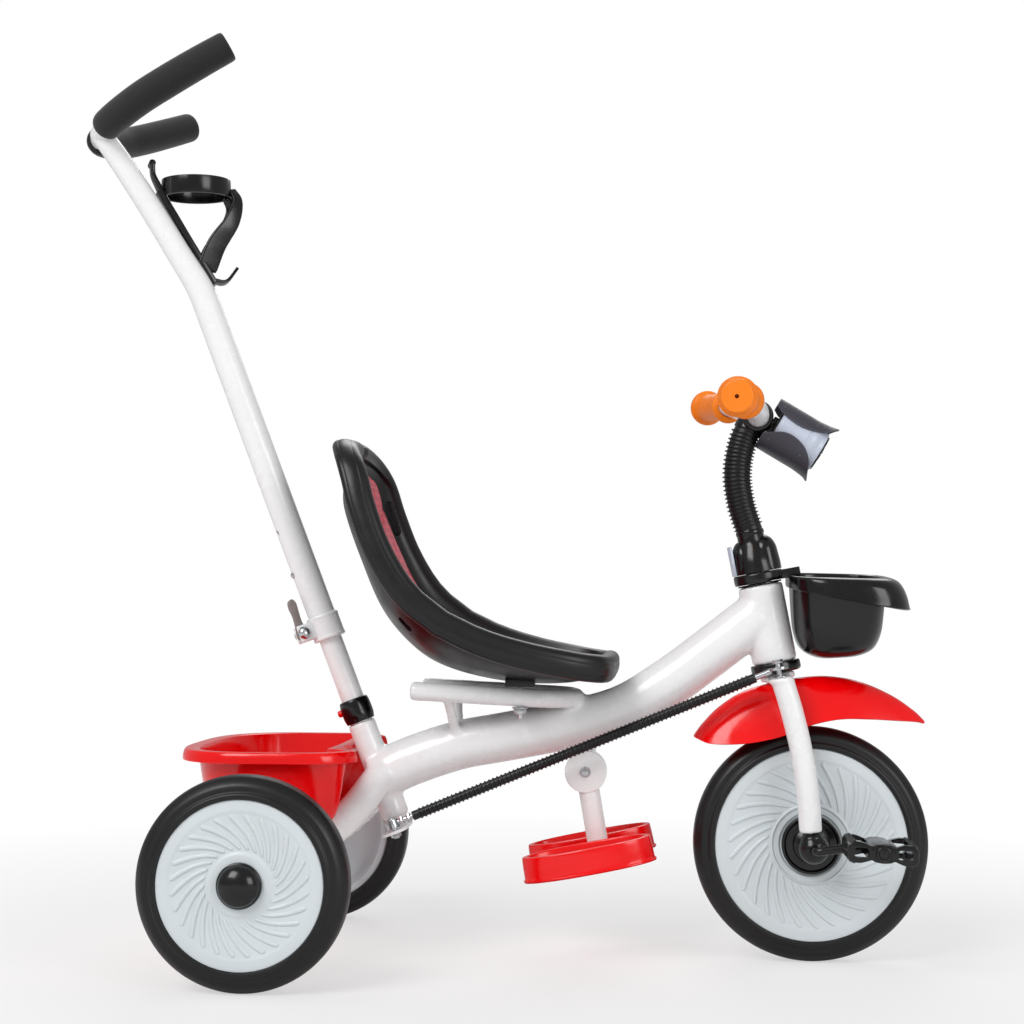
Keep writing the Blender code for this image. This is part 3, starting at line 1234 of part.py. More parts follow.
def centre_on_origin():
    """Move the whole tricycle so that its box stands centred on the origin."""
    graph = bpy.context.evaluated_depsgraph_get()
    ahead = []
    for obj in collections["tricycle"].objects:
        if obj.type in {"MESH", "CURVE"}:
            solid = obj.evaluated_get(graph)
            mesh = solid.to_mesh()
            ahead += [(solid.matrix_world @ vert.co).x for vert in mesh.vertices]
            solid.to_mesh_clear()
    bodies["frame_body"].location.x = -(min(ahead) + max(ahead)) / 2


def main():
    clear_scene()
    make_collections()
    make_bodies()
    build_frame()
    build_rear_axle()
    build_head_bushes()
    build_rear_wheels()
    build_front_wheel()
    build_pedals()
    build_seat()
    build_cushion()
    build_seat_bolts()
    build_front_basket()
    build_rear_basket()
    build_fork()
    build_axle_blocks()
    build_fender()
    build_link_bracket()
    build_stem()
    build_stem_hose()
    build_handlebar()
    build_bar_clamp()
    build_lamp()
    build_footrest()
    build_lower_rod()
    build_upper_rod()
    build_rod_button()
    build_rod_clamp()
    build_collar()
    build_bottle_cage()
    build_link()
    shade_round()
    bpy.context.view_layer.update()
    centre_on_origin()


main()
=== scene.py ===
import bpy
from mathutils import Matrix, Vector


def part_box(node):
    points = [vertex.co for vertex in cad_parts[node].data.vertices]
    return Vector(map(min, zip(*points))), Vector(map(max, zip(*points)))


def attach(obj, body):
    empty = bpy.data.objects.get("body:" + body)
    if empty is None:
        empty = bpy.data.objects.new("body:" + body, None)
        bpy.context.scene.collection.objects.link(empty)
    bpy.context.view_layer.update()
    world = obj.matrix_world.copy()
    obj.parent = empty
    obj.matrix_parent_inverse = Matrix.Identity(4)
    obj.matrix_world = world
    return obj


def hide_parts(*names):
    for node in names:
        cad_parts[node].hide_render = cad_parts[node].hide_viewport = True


bl_info = {
    "name": "Push-rod tricycle",
    "version": (1, 0, 0),
    "blender": (4, 5, 0),
    "location": "View3D > Sidebar > Tricycle",
    "description": "Builds the looks of a child's tricycle round its CAD frame",
    "category": "Object",
}

from math import cos, log, pi, radians, sin, sqrt, tan

import bmesh
import bpy
from mathutils import Matrix, Vector

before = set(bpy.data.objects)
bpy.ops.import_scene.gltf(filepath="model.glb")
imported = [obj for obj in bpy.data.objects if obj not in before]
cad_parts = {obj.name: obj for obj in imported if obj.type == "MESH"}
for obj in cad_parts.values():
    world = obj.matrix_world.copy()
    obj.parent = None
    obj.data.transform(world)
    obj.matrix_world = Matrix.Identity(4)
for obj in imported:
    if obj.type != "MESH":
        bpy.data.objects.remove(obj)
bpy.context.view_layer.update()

# Sizes that follow the CAD part, in metres; X is measured from the rear axle in these
WHEELBASE = 0.542
CASTER = radians(10.6)
TYRE_HALF = 0.021
TYRE_DEPTH = 0.0235
FRONT_TYRE_R = 0.120
REAR_TYRE_R = 0.102
REAR_HALF_TRACK = 0.200
REAR_AXLE_R = 0.0060
FORK_HALF = 0.0465
FORK_TUBE_R = 0.0115
CRANK_R = 0.0045
CRANK_THROW = 0.0575
CRANK_HALF = 0.0700
CRANK_PITCH = radians(8.0)
PEDAL_REACH = 0.108
PEDAL_TILT = radians(11.7)
MAIN_TUBE_R = 0.0255
MAIN_LINE = [(0.0930, 0.0, 0.1805), (0.1300, 0.0, 0.1980), (0.1800, 0.0, 0.2150),
             (0.2236, 0.0, 0.2234), (0.2860, 0.0, 0.2355), (0.3483, 0.0, 0.2520),
             (0.3950, 0.0, 0.2790), (0.4309, 0.0, 0.3050), (0.4700, 0.0, 0.3350),
             (0.4920, 0.0, 0.3520)]
YOKE_TUBE_R = 0.0165
AXLE_TUBE_R = 0.0125
AXLE_TUBE_PAST_YOKE = 0.0218
YOKE_HALF = 0.128
HEAD_TUBE_R = 0.023
HEAD_TUBE_BORE_R = 0.0196
HEAD_TUBE_LOW = 0.187
HEAD_TUBE_HIGH = 0.268
STEERER_R = 0.0125
RAIL_R = 0.0098
RAIL_HALF = 0.049
RAIL_REAR = (0.136, 0.2735)
RAIL_FRONT = (0.262, 0.2670)
SEAT_BOLT_X = 0.248
ROD_FOOT = (0.119, 0.0, 0.131)
ROD_TILT = radians(21.0)
HANDLE_TURN = radians(27.0)
LOWER_ROD_R = 0.012
UPPER_ROD_R = 0.0145
UPPER_ROD_LOW = 0.2125
BUTTON_HEIGHT = 0.2837
HOLE_PITCH = 0.0473
CLAMP_PIVOT = (-0.0265, 0.0, 0.2225)
SOCKET_R = 0.0145
SOCKET_TOP = 0.1155
COLLAR_R = 0.0165
COLLAR_BUTTON_HEIGHT = 0.1303
LINK_ARM = 0.038
LINK_EYE = 0.1820
BAR_CLAMP = (0.029, 0.0, 0.4406)
BAR_LEAN = radians(5.0)
BAR_SKEW = radians(2.0)
BAR_R = 0.011
GRIP_LENGTH = 0.085
LAMP_PIVOT = (0.0420, 0.0, 0.4300)
LAMP_DIP = radians(42.0)
LAMP_R = 0.026
LAMP_BACK = 0.0070
LAMP_LENGTH = 0.050
BASKET_LEAN = radians(3.0)
BASKET_SEAT = (0.0290, 0.0, 0.2735)
BRACKET_TOP = 0.2808
TAB_PIVOT_R = 0.0262
TAB_PIVOT_Z = 0.2815
FOOT_PIVOT = (0.313, 0.0, 0.1896)
FOOT_POST_TILT = radians(9.5)
FOOT_PITCH = radians(11.0)
SEAT_WALL = 0.0032
GAP = 0.0003

WELD_DISTANCE = 0.000005
ROUND = 64
WHEEL_ROUND = 128
SMOOTH_ANGLE = 35.0


def axle_centre(tyre):
    low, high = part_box(tyre)
    return (low + high) / 2


FRONT_AXLE = axle_centre("front_tyre")
REAR_AXLE_Z = axle_centre("rear_tyre_right").z
REAR_AXLE_X = FRONT_AXLE.x - WHEELBASE


def at(x, y, z):
    return Matrix.Translation((x, y, z))


def turn(angle, axis):
    return Matrix.Rotation(angle, 4, axis)


# Lays a shape's Z axis across the tricycle
ACROSS = turn(pi / 2, "X")


def signed_power(value, power):
    """A power that keeps the sign, for outlines between an ellipse and a rectangle."""
    return abs(value) ** power * (1 if value >= 0 else -1)


def outboard(side):
    """Turn a wheel piece's Z axis outwards."""
    return turn(-side * pi / 2, "X")


SIDES = (("right", -1), ("left", 1))


def build_places():
    """The frame that each group of pieces is drawn in, at rest."""
    world = at(REAR_AXLE_X, 0.0, 0.0)
    steering = world @ at(WHEELBASE, 0.0, FRONT_AXLE.z) @ turn(-CASTER, "Y")
    rod_axis = world @ at(*ROD_FOOT) @ turn(-ROD_TILT, "Y")
    rod = rod_axis @ turn(HANDLE_TURN, "Z")
    crank = world @ at(WHEELBASE, 0.0, FRONT_AXLE.z) @ turn(-CRANK_PITCH, "Y")
    places = {
        "world": world,
        "steering": steering,
        "front_wheel": world @ at(WHEELBASE, 0.0, FRONT_AXLE.z),
        "crank": crank,
        "bar": steering @ at(*BAR_CLAMP) @ turn(BAR_SKEW, "Z") @ turn(BAR_LEAN, "X"),
        "lamp": steering @ at(*LAMP_PIVOT) @ turn(pi / 2 + LAMP_DIP, "Y"),
        "tab": steering @ at(-TAB_PIVOT_R, 0.0, TAB_PIVOT_Z),
        "basket": steering @ at(*BASKET_SEAT) @ turn(CASTER, "Y") @ turn(BASKET_LEAN, "X"),
        "rod_axis": rod_axis,
        "rod": rod,
        "clamp_lever": rod @ at(*CLAMP_PIVOT),
        "link": rod_axis @ at(0.0, -LINK_ARM, 0.0),
        "footrest": world @ at(*FOOT_PIVOT),
        "cage": rod @ at(0.0118, 0.0, 0.6100) @ turn(-radians(10.8), "Y"),
    }
    for label, side in SIDES:
        places[f"rear_wheel_{label}"] = world @ at(0.0, side * REAR_HALF_TRACK, REAR_AXLE_Z)
        places[f"pedal_{label}"] = crank @ at(-side * CRANK_THROW, side * PEDAL_REACH, 0.0)
    return places


PLACES = build_places()


# Colours and nodes

def linear(code):
    """A colour written as sRGB hex, in linear light."""
    parts = [int(code[i:i + 2], 16) / 255 for i in (1, 3, 5)]
    return tuple(c / 12.92 if c <= 0.04045 else ((c + 0.055) / 1.055) ** 2.4 for c in parts)


def add(tree, kind, sockets=None, **settings):
    """Add a node with its settings; a socket takes a number, a colour or another node's output."""
    made = tree.nodes.new("ShaderNode" + kind)
    for name, value in settings.items():
        setattr(made, name, value)
    for name, value in (sockets or {}).items():
        socket = made.inputs[name]
        if isinstance(value, bpy.types.NodeSocket):
            tree.links.new(value, socket)
        else:
            socket.default_value = value
    return made


def per_metre(millimetres):
    """The texture scale at which a pattern repeats about every so many millimetres."""
    return 1000.0 / millimetres


def blank(name):
    material = bpy.data.materials.new(name)
    material.use_nodes = True
    tree = material.node_tree
    tree.nodes.clear()
    return material, tree


def surface(tree, sockets):
    """The finished shader and the output that shows it."""
    shader = add(tree, "BsdfPrincipled", sockets)
    add(tree, "OutputMaterial", {"Surface": shader.outputs["BSDF"]})
    return shader


def shade(colour, amount):
    return (*(c * amount for c in colour), 1.0)


def noise(tree, place, size, detail):
    """A cloudy value whose features are about so many millimetres across."""
    return add(tree, "TexNoise", {"Vector": place, "Scale": per_metre(size),
                                  "Detail": detail}).outputs["Fac"]


def ramp(tree, value, low, high, start=0.0, end=1.0):
    """A value stretched from the range low to high onto start to end."""
    return add(tree, "MapRange", {"Value": value, "From Min": low, "From Max": high,
                                  "To Min": start, "To Max": end}).outputs["Result"]


def tinted(tree, share, first, second):
    """A colour that turns from the first into the second."""
    return add(tree, "Mix", {0: share, 6: first, 7: second}, data_type="RGBA").outputs[2]


def bumped(tree, height, strength, depth, under=None):
    """The normal of a bump of a depth in metres, on top of another one if there is one under it."""
    sockets = {"Height": height, "Strength": strength, "Distance": depth}
    if under is not None:
        sockets["Normal"] = under
    return add(tree, "Bump", sockets).outputs["Normal"]


def moulded(name, colour, roughness, grain, depth, tone=0.90, coat=0.0, ior=1.49, wear=1.0,
            flow=60.0, metallic=0.0, spread=0.05):
    """A moulded, painted or plated skin: slow tone shifts, uneven gloss and a fine grain, all in mm."""
    material, tree = blank(name)
    place = add(tree, "TexCoord").outputs["Object"]
    tint = tinted(tree, ramp(tree, noise(tree, place, flow, 3.0), 0.35, 0.68), shade(colour, tone),
                  shade(colour, 1.0))
    worn = ramp(tree, add(tree, "NewGeometry").outputs["Pointiness"], 0.53, 0.60)
    base = tinted(tree, worn, tint, shade(colour, wear))
    gloss = ramp(tree, noise(tree, place, flow / 4, 4.0), 0.3, 0.7, max(roughness - spread, 0.02),
                 roughness + spread)
    normal = bumped(tree, noise(tree, place, grain, 2.0), 0.5, depth / 1000)
    surface(tree, {"Base Color": base, "Roughness": gloss, "Normal": normal, "Metallic": metallic,
                   "IOR": ior, "Coat Weight": coat, "Coat Roughness": 0.08})
    return material


def powder_coat(colours):
    # Gloss polyester powder coat on steel tube: bright, with an orange peel of about 2 mm under the gloss
    return moulded("white_powder_coat", colours.paint, 0.26, 2.2, 0.035, tone=0.985, coat=0.35, ior=1.50)


def zinc_steel(colours):
    # Bright zinc plating on pressed and turned steel: a cool mirror broken by fine handling marks
    return moulded("bright_zinc_plated_steel", colours.zinc, 0.24, 0.7, 0.012, tone=0.88, metallic=1.0,
                   ior=1.5, flow=12.0, spread=0.07)


def red_plastic(colours):
    # Glossy injection-moulded polypropylene: one strong red with a soft wave in its reflections
    return moulded("red_moulded_polypropylene", colours.red, 0.17, 5.0, 0.05, tone=0.95)


def gloss_black(colours):
    # Glossy black polypropylene of the baskets, clamps and pedals: sharp highlights on a faint wave
    return moulded("gloss_black_polypropylene", colours.gloss_black, 0.20, 3.5, 0.05, tone=0.8, wear=1.9)


def black_paint(colours):
    # Gloss black paint on the bent steel rod: a hard shine with the steel's slight grain under it
    return moulded("gloss_black_paint_on_steel", colours.gloss_black, 0.26, 0.8, 0.02, ior=1.52)


def seat_black(colours):
    # Satin black polyethylene of the blown seat shell: wide soft highlights and a slight violet tone
    return moulded("satin_black_seat_polyethylene", colours.seat_black, 0.36, 1.1, 0.03, tone=0.88,
                   wear=1.7)


def black_hose(colours):
    # Extruded corrugated polyethylene: dull black with a light rub on each crest
    return moulded("corrugated_black_polyethylene", colours.gloss_black, 0.38, 0.8, 0.02, tone=0.8,
                   wear=2.6)


def grey_disc(colours):
    # Pale grey polypropylene wheel disc: satin, so that its ribs shade softly
    return moulded("pale_grey_moulded_polypropylene", colours.disc, 0.33, 1.3, 0.02, tone=0.965,
                   coat=0.15)


def orange_grip(colours):
    # Soft orange PVC grip: rubbery, with a broad dull highlight
    return moulded("soft_orange_pvc", colours.grip, 0.40, 0.9, 0.04, tone=0.90, flow=25.0)


def lamp_shell(colours):
    # Pale blue-grey ABS of the toy lamp and the stem tab: smooth satin
    return moulded("pale_blue_grey_abs", colours.lamp, 0.30, 1.4, 0.02, tone=0.95, ior=1.54)


def lamp_cover(colours):
    # Dark violet-grey ABS of the two lamp leaves: fine spark-eroded texture
    return moulded("dark_violet_grey_abs", colours.leaf, 0.42, 0.5, 0.03, tone=0.9, ior=1.54, wear=1.8)


def lever_grey(colours):
    # Grey-brown nylon of the clamp lever: waxy satin
    return moulded("grey_brown_nylon", colours.lever, 0.42, 0.9, 0.03, tone=0.85, flow=20.0)


def tyre_rubber(colours):
    """Moulded EVA foam tyre: a closed dull skin with pores and a little dust in cloudy patches."""
    material, tree = blank("moulded_eva_foam_tyre")
    place = add(tree, "TexCoord").outputs["Object"]
    pores = add(tree, "TexVoronoi", {"Vector": place, "Scale": per_metre(1.6)})
    cloud = noise(tree, place, 40.0, 5.0)
    base = tinted(tree, ramp(tree, cloud, 0.45, 0.75), shade(colours.tyre, 0.85), shade(colours.tyre, 1.35))
    gloss = ramp(tree, cloud, 0.3, 0.7, 0.34, 0.46)
    normal = bumped(tree, pores.outputs["Distance"], 0.35, 0.00004)
    surface(tree, {"Base Color": base, "Roughness": gloss, "Normal": normal, "IOR": 1.48})
    return material


def grip_foam(colours):
    """Black NBR handle foam: matt, with open cells of about 1 mm and a soft sheen at its edge."""
    material, tree = blank("black_nbr_handle_foam")
    place = add(tree, "TexCoord").outputs["Object"]
    cells = add(tree, "TexVoronoi", {"Vector": place, "Scale": per_metre(1.3)})
    crumbs = noise(tree, place, 3.0, 6.0)
    base = tinted(tree, ramp(tree, crumbs, 0.3, 0.7), shade(colours.foam, 0.8), shade(colours.foam, 1.25))
    pits = bumped(tree, cells.outputs["Distance"], 0.6, 0.0002)
    normal = bumped(tree, crumbs, 0.5, 0.0003, pits)
    surface(tree, {"Base Color": base, "Roughness": 0.82, "Normal": normal, "Sheen Weight": 0.25,
                   "Sheen Roughness": 0.5})
    return material


def padded_fabric(colours):
    """Red woven polyester over foam: a coarse check, much wider than threads, that shows from a step away.
    """
    material, tree = blank("red_woven_polyester")
    place = add(tree, "Attribute", attribute_name="weave").outputs["Vector"]
    threads = []
    for direction in ("X", "Y"):
        wave = add(tree, "TexWave", {"Vector": place, "Scale": per_metre(28.0), "Distortion": 0.15},
                   bands_direction=direction)
        threads.append(wave.outputs["Fac"])
    weave = add(tree, "Math", {0: threads[0], 1: threads[1]}, operation="MULTIPLY")
    cloud = noise(tree, place, 18.0, 4.0)
    mixed = add(tree, "Math", {0: weave.outputs[0], 1: cloud}, operation="MULTIPLY")
    share = ramp(tree, mixed.outputs[0], 0.02, 0.42)
    base = tinted(tree, share, shade(colours.pad, 0.72), shade(colours.pad, 1.12))
    normal = bumped(tree, weave.outputs[0], 0.8, 0.0004)
    surface(tree, {"Base Color": base, "Roughness": 0.78, "Normal": normal, "Sheen Weight": 0.35,
                   "Sheen Roughness": 0.4})
    return material


def clear_lens(colours):
    """Clear polycarbonate lens: water clear, with faint moulded rings behind its face."""
    material, tree = blank("clear_polycarbonate")
    place = add(tree, "TexCoord").outputs["Object"]
    normal = bumped(tree, noise(tree, place, 4.0, 1.0), 0.4, 0.0002)
    surface(tree, {"Base Color": shade(colours.lens, 1.0), "Roughness": 0.06, "IOR": 1.585,
                   "Transmission Weight": 0.85, "Normal": normal})
    return material


FINISHES = {
    "paint": (powder_coat, "white_paint"),
    "zinc": (zinc_steel, "steel"),
    "red": (red_plastic, "red_plastic"),
    "black": (gloss_black, "black_plastic"),
    "seat": (seat_black, "black_plastic"),
    "crank": (black_paint, "black_paint"),
    "hose": (black_hose, "black_plastic"),
    "disc": (grey_disc, "grey_plastic"),
    "lever": (lever_grey, "grey_plastic"),
    "grip": (orange_grip, "orange_plastic"),
    "lamp": (lamp_shell, "lamp_shell"),
    "leaf": (lamp_cover, "lamp_cover"),
    "tyre": (tyre_rubber, "tyre_foam"),
    "foam": (grip_foam, "black_foam"),
    "pad": (padded_fabric, "red_fabric"),
    "lens": (clear_lens, "clear_lens"),
}
made_finishes = {}


def finish(key):
    if key not in made_finishes:
        made_finishes[key] = FINISHES[key][0](bpy.context.scene.tricycle_colours)
    return made_finishes[key]


# Shapes

def smooth_path(points, steps):
    """Points on a smooth curve through the given ones, in any number of dimensions."""
    count = (len(points) - 1) * steps
    return [sample(points, i / count) for i in range(count + 1)]


def sample(points, share):
    """The point at a share of the way along a smooth curve through the given ones."""
    spans = len(points) - 1
    place = min(max(share, 0.0), 1.0) * spans
    i = min(int(place), spans - 1)
    t = place - i
    b, c = points[i], points[i + 1]
    a = points[i - 1] if i > 0 else [2 * p - q for p, q in zip(b, c)]
    d = points[i + 2] if i + 2 <= spans else [2 * q - p for p, q in zip(b, c)]
    return tuple(0.5 * (2 * q + (r - p) * t + (2 * p - 5 * q + 4 * r - s) * t * t
                        + (3 * q - p - 3 * r + s) * t ** 3) for p, q, r, s in zip(a, b, c, d))


def filleted(points, radius, steps=6):
    """A polyline whose inner corners are rounded."""
    points = [Vector(p) for p in points]
    path = [points[0]]
    for before, corner, after in zip(points, points[1:], points[2:]):
        reach = min(radius, (before - corner).length * 0.49, (after - corner).length * 0.49)
        start = corner + (before - corner).normalized() * reach
        end = corner + (after - corner).normalized() * reach
        for i in range(steps + 1):
            t = i / steps
            path.append(start.lerp(corner, t).lerp(corner.lerp(end, t), t))
    return path + [points[-1]]


def ring(radius, count=ROUND):
    return [(radius * cos(2 * pi * i / count), radius * sin(2 * pi * i / count)) for i in range(count)]


def slab(half_x, half_y, radius, corner=6):
    """A rectangle's outline with round corners."""
    outline = []
    for quarter, (sx, sy) in enumerate(((1, 1), (-1, 1), (-1, -1), (1, -1))):
        for i in range(corner + 1):
            angle = pi / 2 * (quarter + i / corner)
            outline.append((sx * (half_x - radius) + radius * cos(angle),
                            sy * (half_y - radius) + radius * sin(angle)))
    return outline


def softened(builder, geom, radius, segments=3, affect="EDGES"):
    """Round edges or corners."""
    bmesh.ops.bevel(builder, geom=geom, offset=radius, offset_type="OFFSET", affect=affect,
                    segments=segments, profile=0.5, material=-1, clamp_overlap=True)


def spun(profile, steps=ROUND, closed=False, matrix=None):
    """Spin a profile of (radius, height) points; a third number rounds that corner."""
    builder = bmesh.new()
    verts = [builder.verts.new((point[0], 0.0, point[1])) for point in profile]
    pairs = list(zip(verts, verts[1:])) + ([(verts[-1], verts[0])] if closed else [])
    for pair in pairs:
        builder.edges.new(pair)
    for radius in sorted({point[2] for point in profile if len(point) > 2}, reverse=True):
        corners = [vert for vert, point in zip(verts, profile) if len(point) > 2 and point[2] == radius]
        softened(builder, corners, radius, 4, "VERTICES")
    bmesh.ops.spin(builder, geom=builder.verts[:] + builder.edges[:], cent=(0, 0, 0), axis=(0, 0, 1),
                   dvec=(0, 0, 0), angle=2 * pi, steps=steps, use_merge=True, use_duplicate=False)
    return settled(builder, matrix)


def welded(builder, matrix=None):
    """Weld a shape's doubled points and put it in place."""
    bmesh.ops.remove_doubles(builder, verts=builder.verts, dist=WELD_DISTANCE)
    if matrix is not None:
        bmesh.ops.transform(builder, matrix=matrix, verts=builder.verts)
    return builder


def settled(builder, matrix=None):
    """Weld a shape, put it in place and turn its faces outwards."""
    welded(builder, matrix)
    bmesh.ops.recalc_face_normals(builder, faces=builder.faces)
    return builder


def carried(points, hint):
    """A frame at each point of a path, Z along it, with no twist from one to the next."""
    points = [Vector(point) for point in points]
    last = len(points) - 1
    normal = Vector(hint)
    frames = []
    for i, point in enumerate(points):
        ahead = (points[min(i + 1, last)] - points[max(i - 1, 0)]).normalized()
        normal = (normal - ahead * normal.dot(ahead)).normalized()
        turned = Matrix((normal, ahead.cross(normal), ahead)).transposed().to_4x4()
        frames.append(Matrix.Translation(point) @ turned)
    return frames


def swept(points, section, scales=None, hint=(0.0, 1.0, 0.0), matrix=None, rounded=0.0):
    """Extrude a section along a path, ring by ring; scales are (x, y) at each point."""
    builder = bmesh.new()
    stations = carried(points, hint)
    if scales:
        stations = [station @ Matrix.Diagonal((sx, sy, 1.0, 1.0))
                    for station, (sx, sy) in zip(stations, scales)]
    verts = [builder.verts.new((x, y, 0.0)) for x, y in section]
    edges = [builder.edges.new(pair) for pair in zip(verts, verts[1:] + verts[:1])]
    bmesh.ops.transform(builder, matrix=stations[0], verts=verts)
    ends = [edges]
    for before, after in zip(stations, stations[1:]):
        made = bmesh.ops.extrude_edge_only(builder, edges=edges)["geom"]
        verts = [item for item in made if isinstance(item, bmesh.types.BMVert)]
        fresh = set(verts)
        edges = [item for item in made if isinstance(item, bmesh.types.BMEdge)
                 and item.verts[0] in fresh and item.verts[1] in fresh]
        bmesh.ops.transform(builder, matrix=after @ before.inverted(), verts=verts)
    ends.append(edges)
    for loop in ends:
        bmesh.ops.contextual_create(builder, geom=loop)
    if rounded:
        softened(builder, ends[0] + ends[1], rounded)
    return settled(builder, matrix)


def tube(points, radius, sides, radii=None, matrix=None, rounded=0.0, hint=(0.0, 1.0, 0.0)):
    scales = [(r, r) for r in radii] if radii else None
    return swept(points, ring(radius, sides), scales, hint, matrix, rounded)


def rod(radius, low, high, matrix=None, rounded=0.0, sides=ROUND):
    """A round bar along Z with softened ends."""
    edge = (rounded,) if rounded else ()
    return spun([(0.0, high), (radius, high, *edge), (radius, low, *edge), (0.0, low)], sides,
                matrix=matrix)


def plate(outline, thickness, matrix=None, rounded=0.0):
    """A flat outline in XY, extruded evenly about its plane, with softened edges."""
    builder = bmesh.new()
    verts = [builder.verts.new((x, y, -thickness / 2)) for x, y in outline]
    face = builder.faces.new(verts)
    made = bmesh.ops.extrude_face_region(builder, geom=[face], use_keep_orig=True)["geom"]
    top = [item for item in made if isinstance(item, bmesh.types.BMVert)]
    bmesh.ops.translate(builder, verts=top, vec=(0.0, 0.0, thickness))
    if rounded:
        rims = [edge for edge in builder.edges
                if abs(edge.verts[0].co.z - edge.verts[1].co.z) < thickness / 2]
        softened(builder, rims, rounded)
    return settled(builder, matrix)


def block(size, matrix=None, rounded=0.001, segments=3):
    """A box with every edge rounded."""
    builder = bmesh.new()
    bmesh.ops.create_cube(builder, size=1.0, matrix=Matrix.Diagonal((*size, 1.0)))
    softened(builder, builder.edges[:], rounded, segments)
    return settled(builder, matrix)


def hexagon(radius, low, high, matrix):
    """A hexagonal nut or head with softened corners."""
    outline = [(radius * cos(pi * i / 3), radius * sin(pi * i / 3)) for i in range(6)]
    return plate(outline, high - low, matrix @ at(0.0, 0.0, (low + high) / 2), (high - low) * 0.16)


def shaped(form, rows, columns, matrix=None):
    """An open grid whose points form(u, v) places."""
    builder = bmesh.new()
    bmesh.ops.create_grid(builder, x_segments=rows, y_segments=columns, size=0.5)
    for vert in builder.verts:
        vert.co = form(min(max(vert.co.x + 0.5, 0.0), 1.0), min(max(vert.co.y + 0.5, 0.0), 1.0))
    return welded(builder, matrix)


def gathered(*builders):
    """Several shapes in one."""
    whole = bmesh.new()
    for builder in builders:
        mesh = bpy.data.meshes.new("part")
        builder.to_mesh(mesh)
        builder.free()
        whole.from_mesh(mesh)
        bpy.data.meshes.remove(mesh)
    return whole


def in_scene(name, data):
    """A new object that shows its data."""
    obj = bpy.data.objects.new(name, data)
    bpy.context.scene.collection.objects.link(obj)
    return obj


def as_object(builder, name="shape"):
    mesh = bpy.data.meshes.new(name)
    builder.to_mesh(mesh)
    builder.free()
    return in_scene(name, mesh)


def modified(builder, *stack, cutters=()):
    """Run modifiers, given as (kind, settings), over a shape and give the result back as a shape."""
    obj = as_object(builder)
    tools = [as_object(cutter, "cutter") for cutter in cutters]
    for kind, settings in stack:
        modifier = obj.modifiers.new(kind, kind)
        for name, value in settings.items():
            setattr(modifier, name, value)
    for tool in tools:
        modifier = obj.modifiers.new("Cut", "BOOLEAN")
        modifier.operation = "DIFFERENCE"
        modifier.solver = "EXACT"
        modifier.object = tool
    graph = bpy.context.evaluated_depsgraph_get()
    mesh = bpy.data.meshes.new_from_object(obj.evaluated_get(graph))
    result = bmesh.new()
    result.from_mesh(mesh)
    for used in [obj, *tools]:
        data = used.data
        bpy.data.objects.remove(used)
        bpy.data.meshes.remove(data)
    bpy.data.meshes.remove(mesh)
    return result


def fused(builder, voxel, relax):
    """Join overlapping shapes into one skin with small weld fillets."""
    return modified(builder, ("REMESH", {"mode": "VOXEL", "voxel_size": voxel}),
                    ("SMOOTH", {"factor": 0.5, "iterations": relax}))


def walled(builder, thickness, offset=-1.0, even=True):
    """Give an open sheet its wall."""
    return modified(builder, ("SOLIDIFY", {"thickness": thickness, "offset": offset,
                                           "use_even_offset": even}))


def carved(builder, *cutters):
    return modified(builder, cutters=cutters)


def piece(name, builder, finish_key, body, stands_for=(), smooth=SMOOTH_ANGLE):
    """A finished piece: shaded round, painted, riding on its body and standing for CAD nodes."""
    obj = as_object(builder, name)
    obj.data.shade_smooth()
    obj.data.set_sharp_from_angle(angle=radians(smooth))
    obj.data.materials.append(finish(finish_key))
    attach(obj, body)
    if stands_for:
        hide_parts(*([stands_for] if isinstance(stands_for, str) else stands_for))
    return obj


# Wheels

def tyre_profile(outer, inner):
    """Half a tyre's outline from its bead, over the lip and shoulder, to the middle of the tread."""
    half = TYRE_HALF
    bead = [(inner + 0.0006, half - 0.0070), (inner + 0.0007, half - 0.0022),
            (inner + 0.0013, half - 0.0006), (inner + 0.0028, half - 0.0001),
            (inner + 0.0050, half - 0.0001), (inner + 0.0064, half - 0.0008),
            (inner + 0.0072, half - 0.0021), (inner + 0.0082, half - 0.0026)]
    wall = smooth_path([(inner + 0.0096, half - 0.0025), (inner + 0.0140, half - 0.0034),
                        (outer - 0.0042, half - 0.0068), (outer - 0.0014, half - 0.0105),
                        (outer - 0.0003, half - 0.0145), (outer, half - 0.0185)], 4)
    return bead + wall


def mirrored(profile):
    """A wheel's profile from its far side back to its near side."""
    return [(point[0], -point[1], *point[2:]) for point in reversed(profile)]


def tyre(label, body, outer, inner, matrix, node):
    side = tyre_profile(outer, inner)
    tread = spun(side + mirrored(side), WHEEL_ROUND, closed=True, matrix=matrix)
    piece(label, tread, "tyre", body, node)


def swirl_ribs(count, inner, outer, height_at, height, width, matrix, lean=42.0):
    """Raised ribs that sweep round the disc as they go outwards."""
    steps = 16
    ribs = []
    for i in range(count):
        path = []
        scales = []
        for step in range(steps + 1):
            share = step / steps
            radius = inner + (outer - inner) * (1 - cos(pi * share)) / 2
            angle = 2 * pi * i / count + tan(radians(lean)) * log(radius / inner)
            path.append((radius * cos(angle), radius * sin(angle), height_at(radius)))
            taper = max(1 - abs(2 * share - 1) ** 5, 0.02) ** 0.5
            scales.append((height * taper, width * (0.62 + 0.38 * share) * taper))
        ribs.append(swept(path, ring(1.0, 12), scales, (0.0, 0.0, 1.0), matrix))
    return ribs


def between(points):
    """A height for each radius, straight between the given (radius, height) points."""
    def height(radius):
        for (r0, z0), (r1, z1) in zip(points, points[1:]):
            if radius <= r1:
                return z0 + (z1 - z0) * (radius - r0) / (r1 - r0)
        return points[-1][1]
    return height


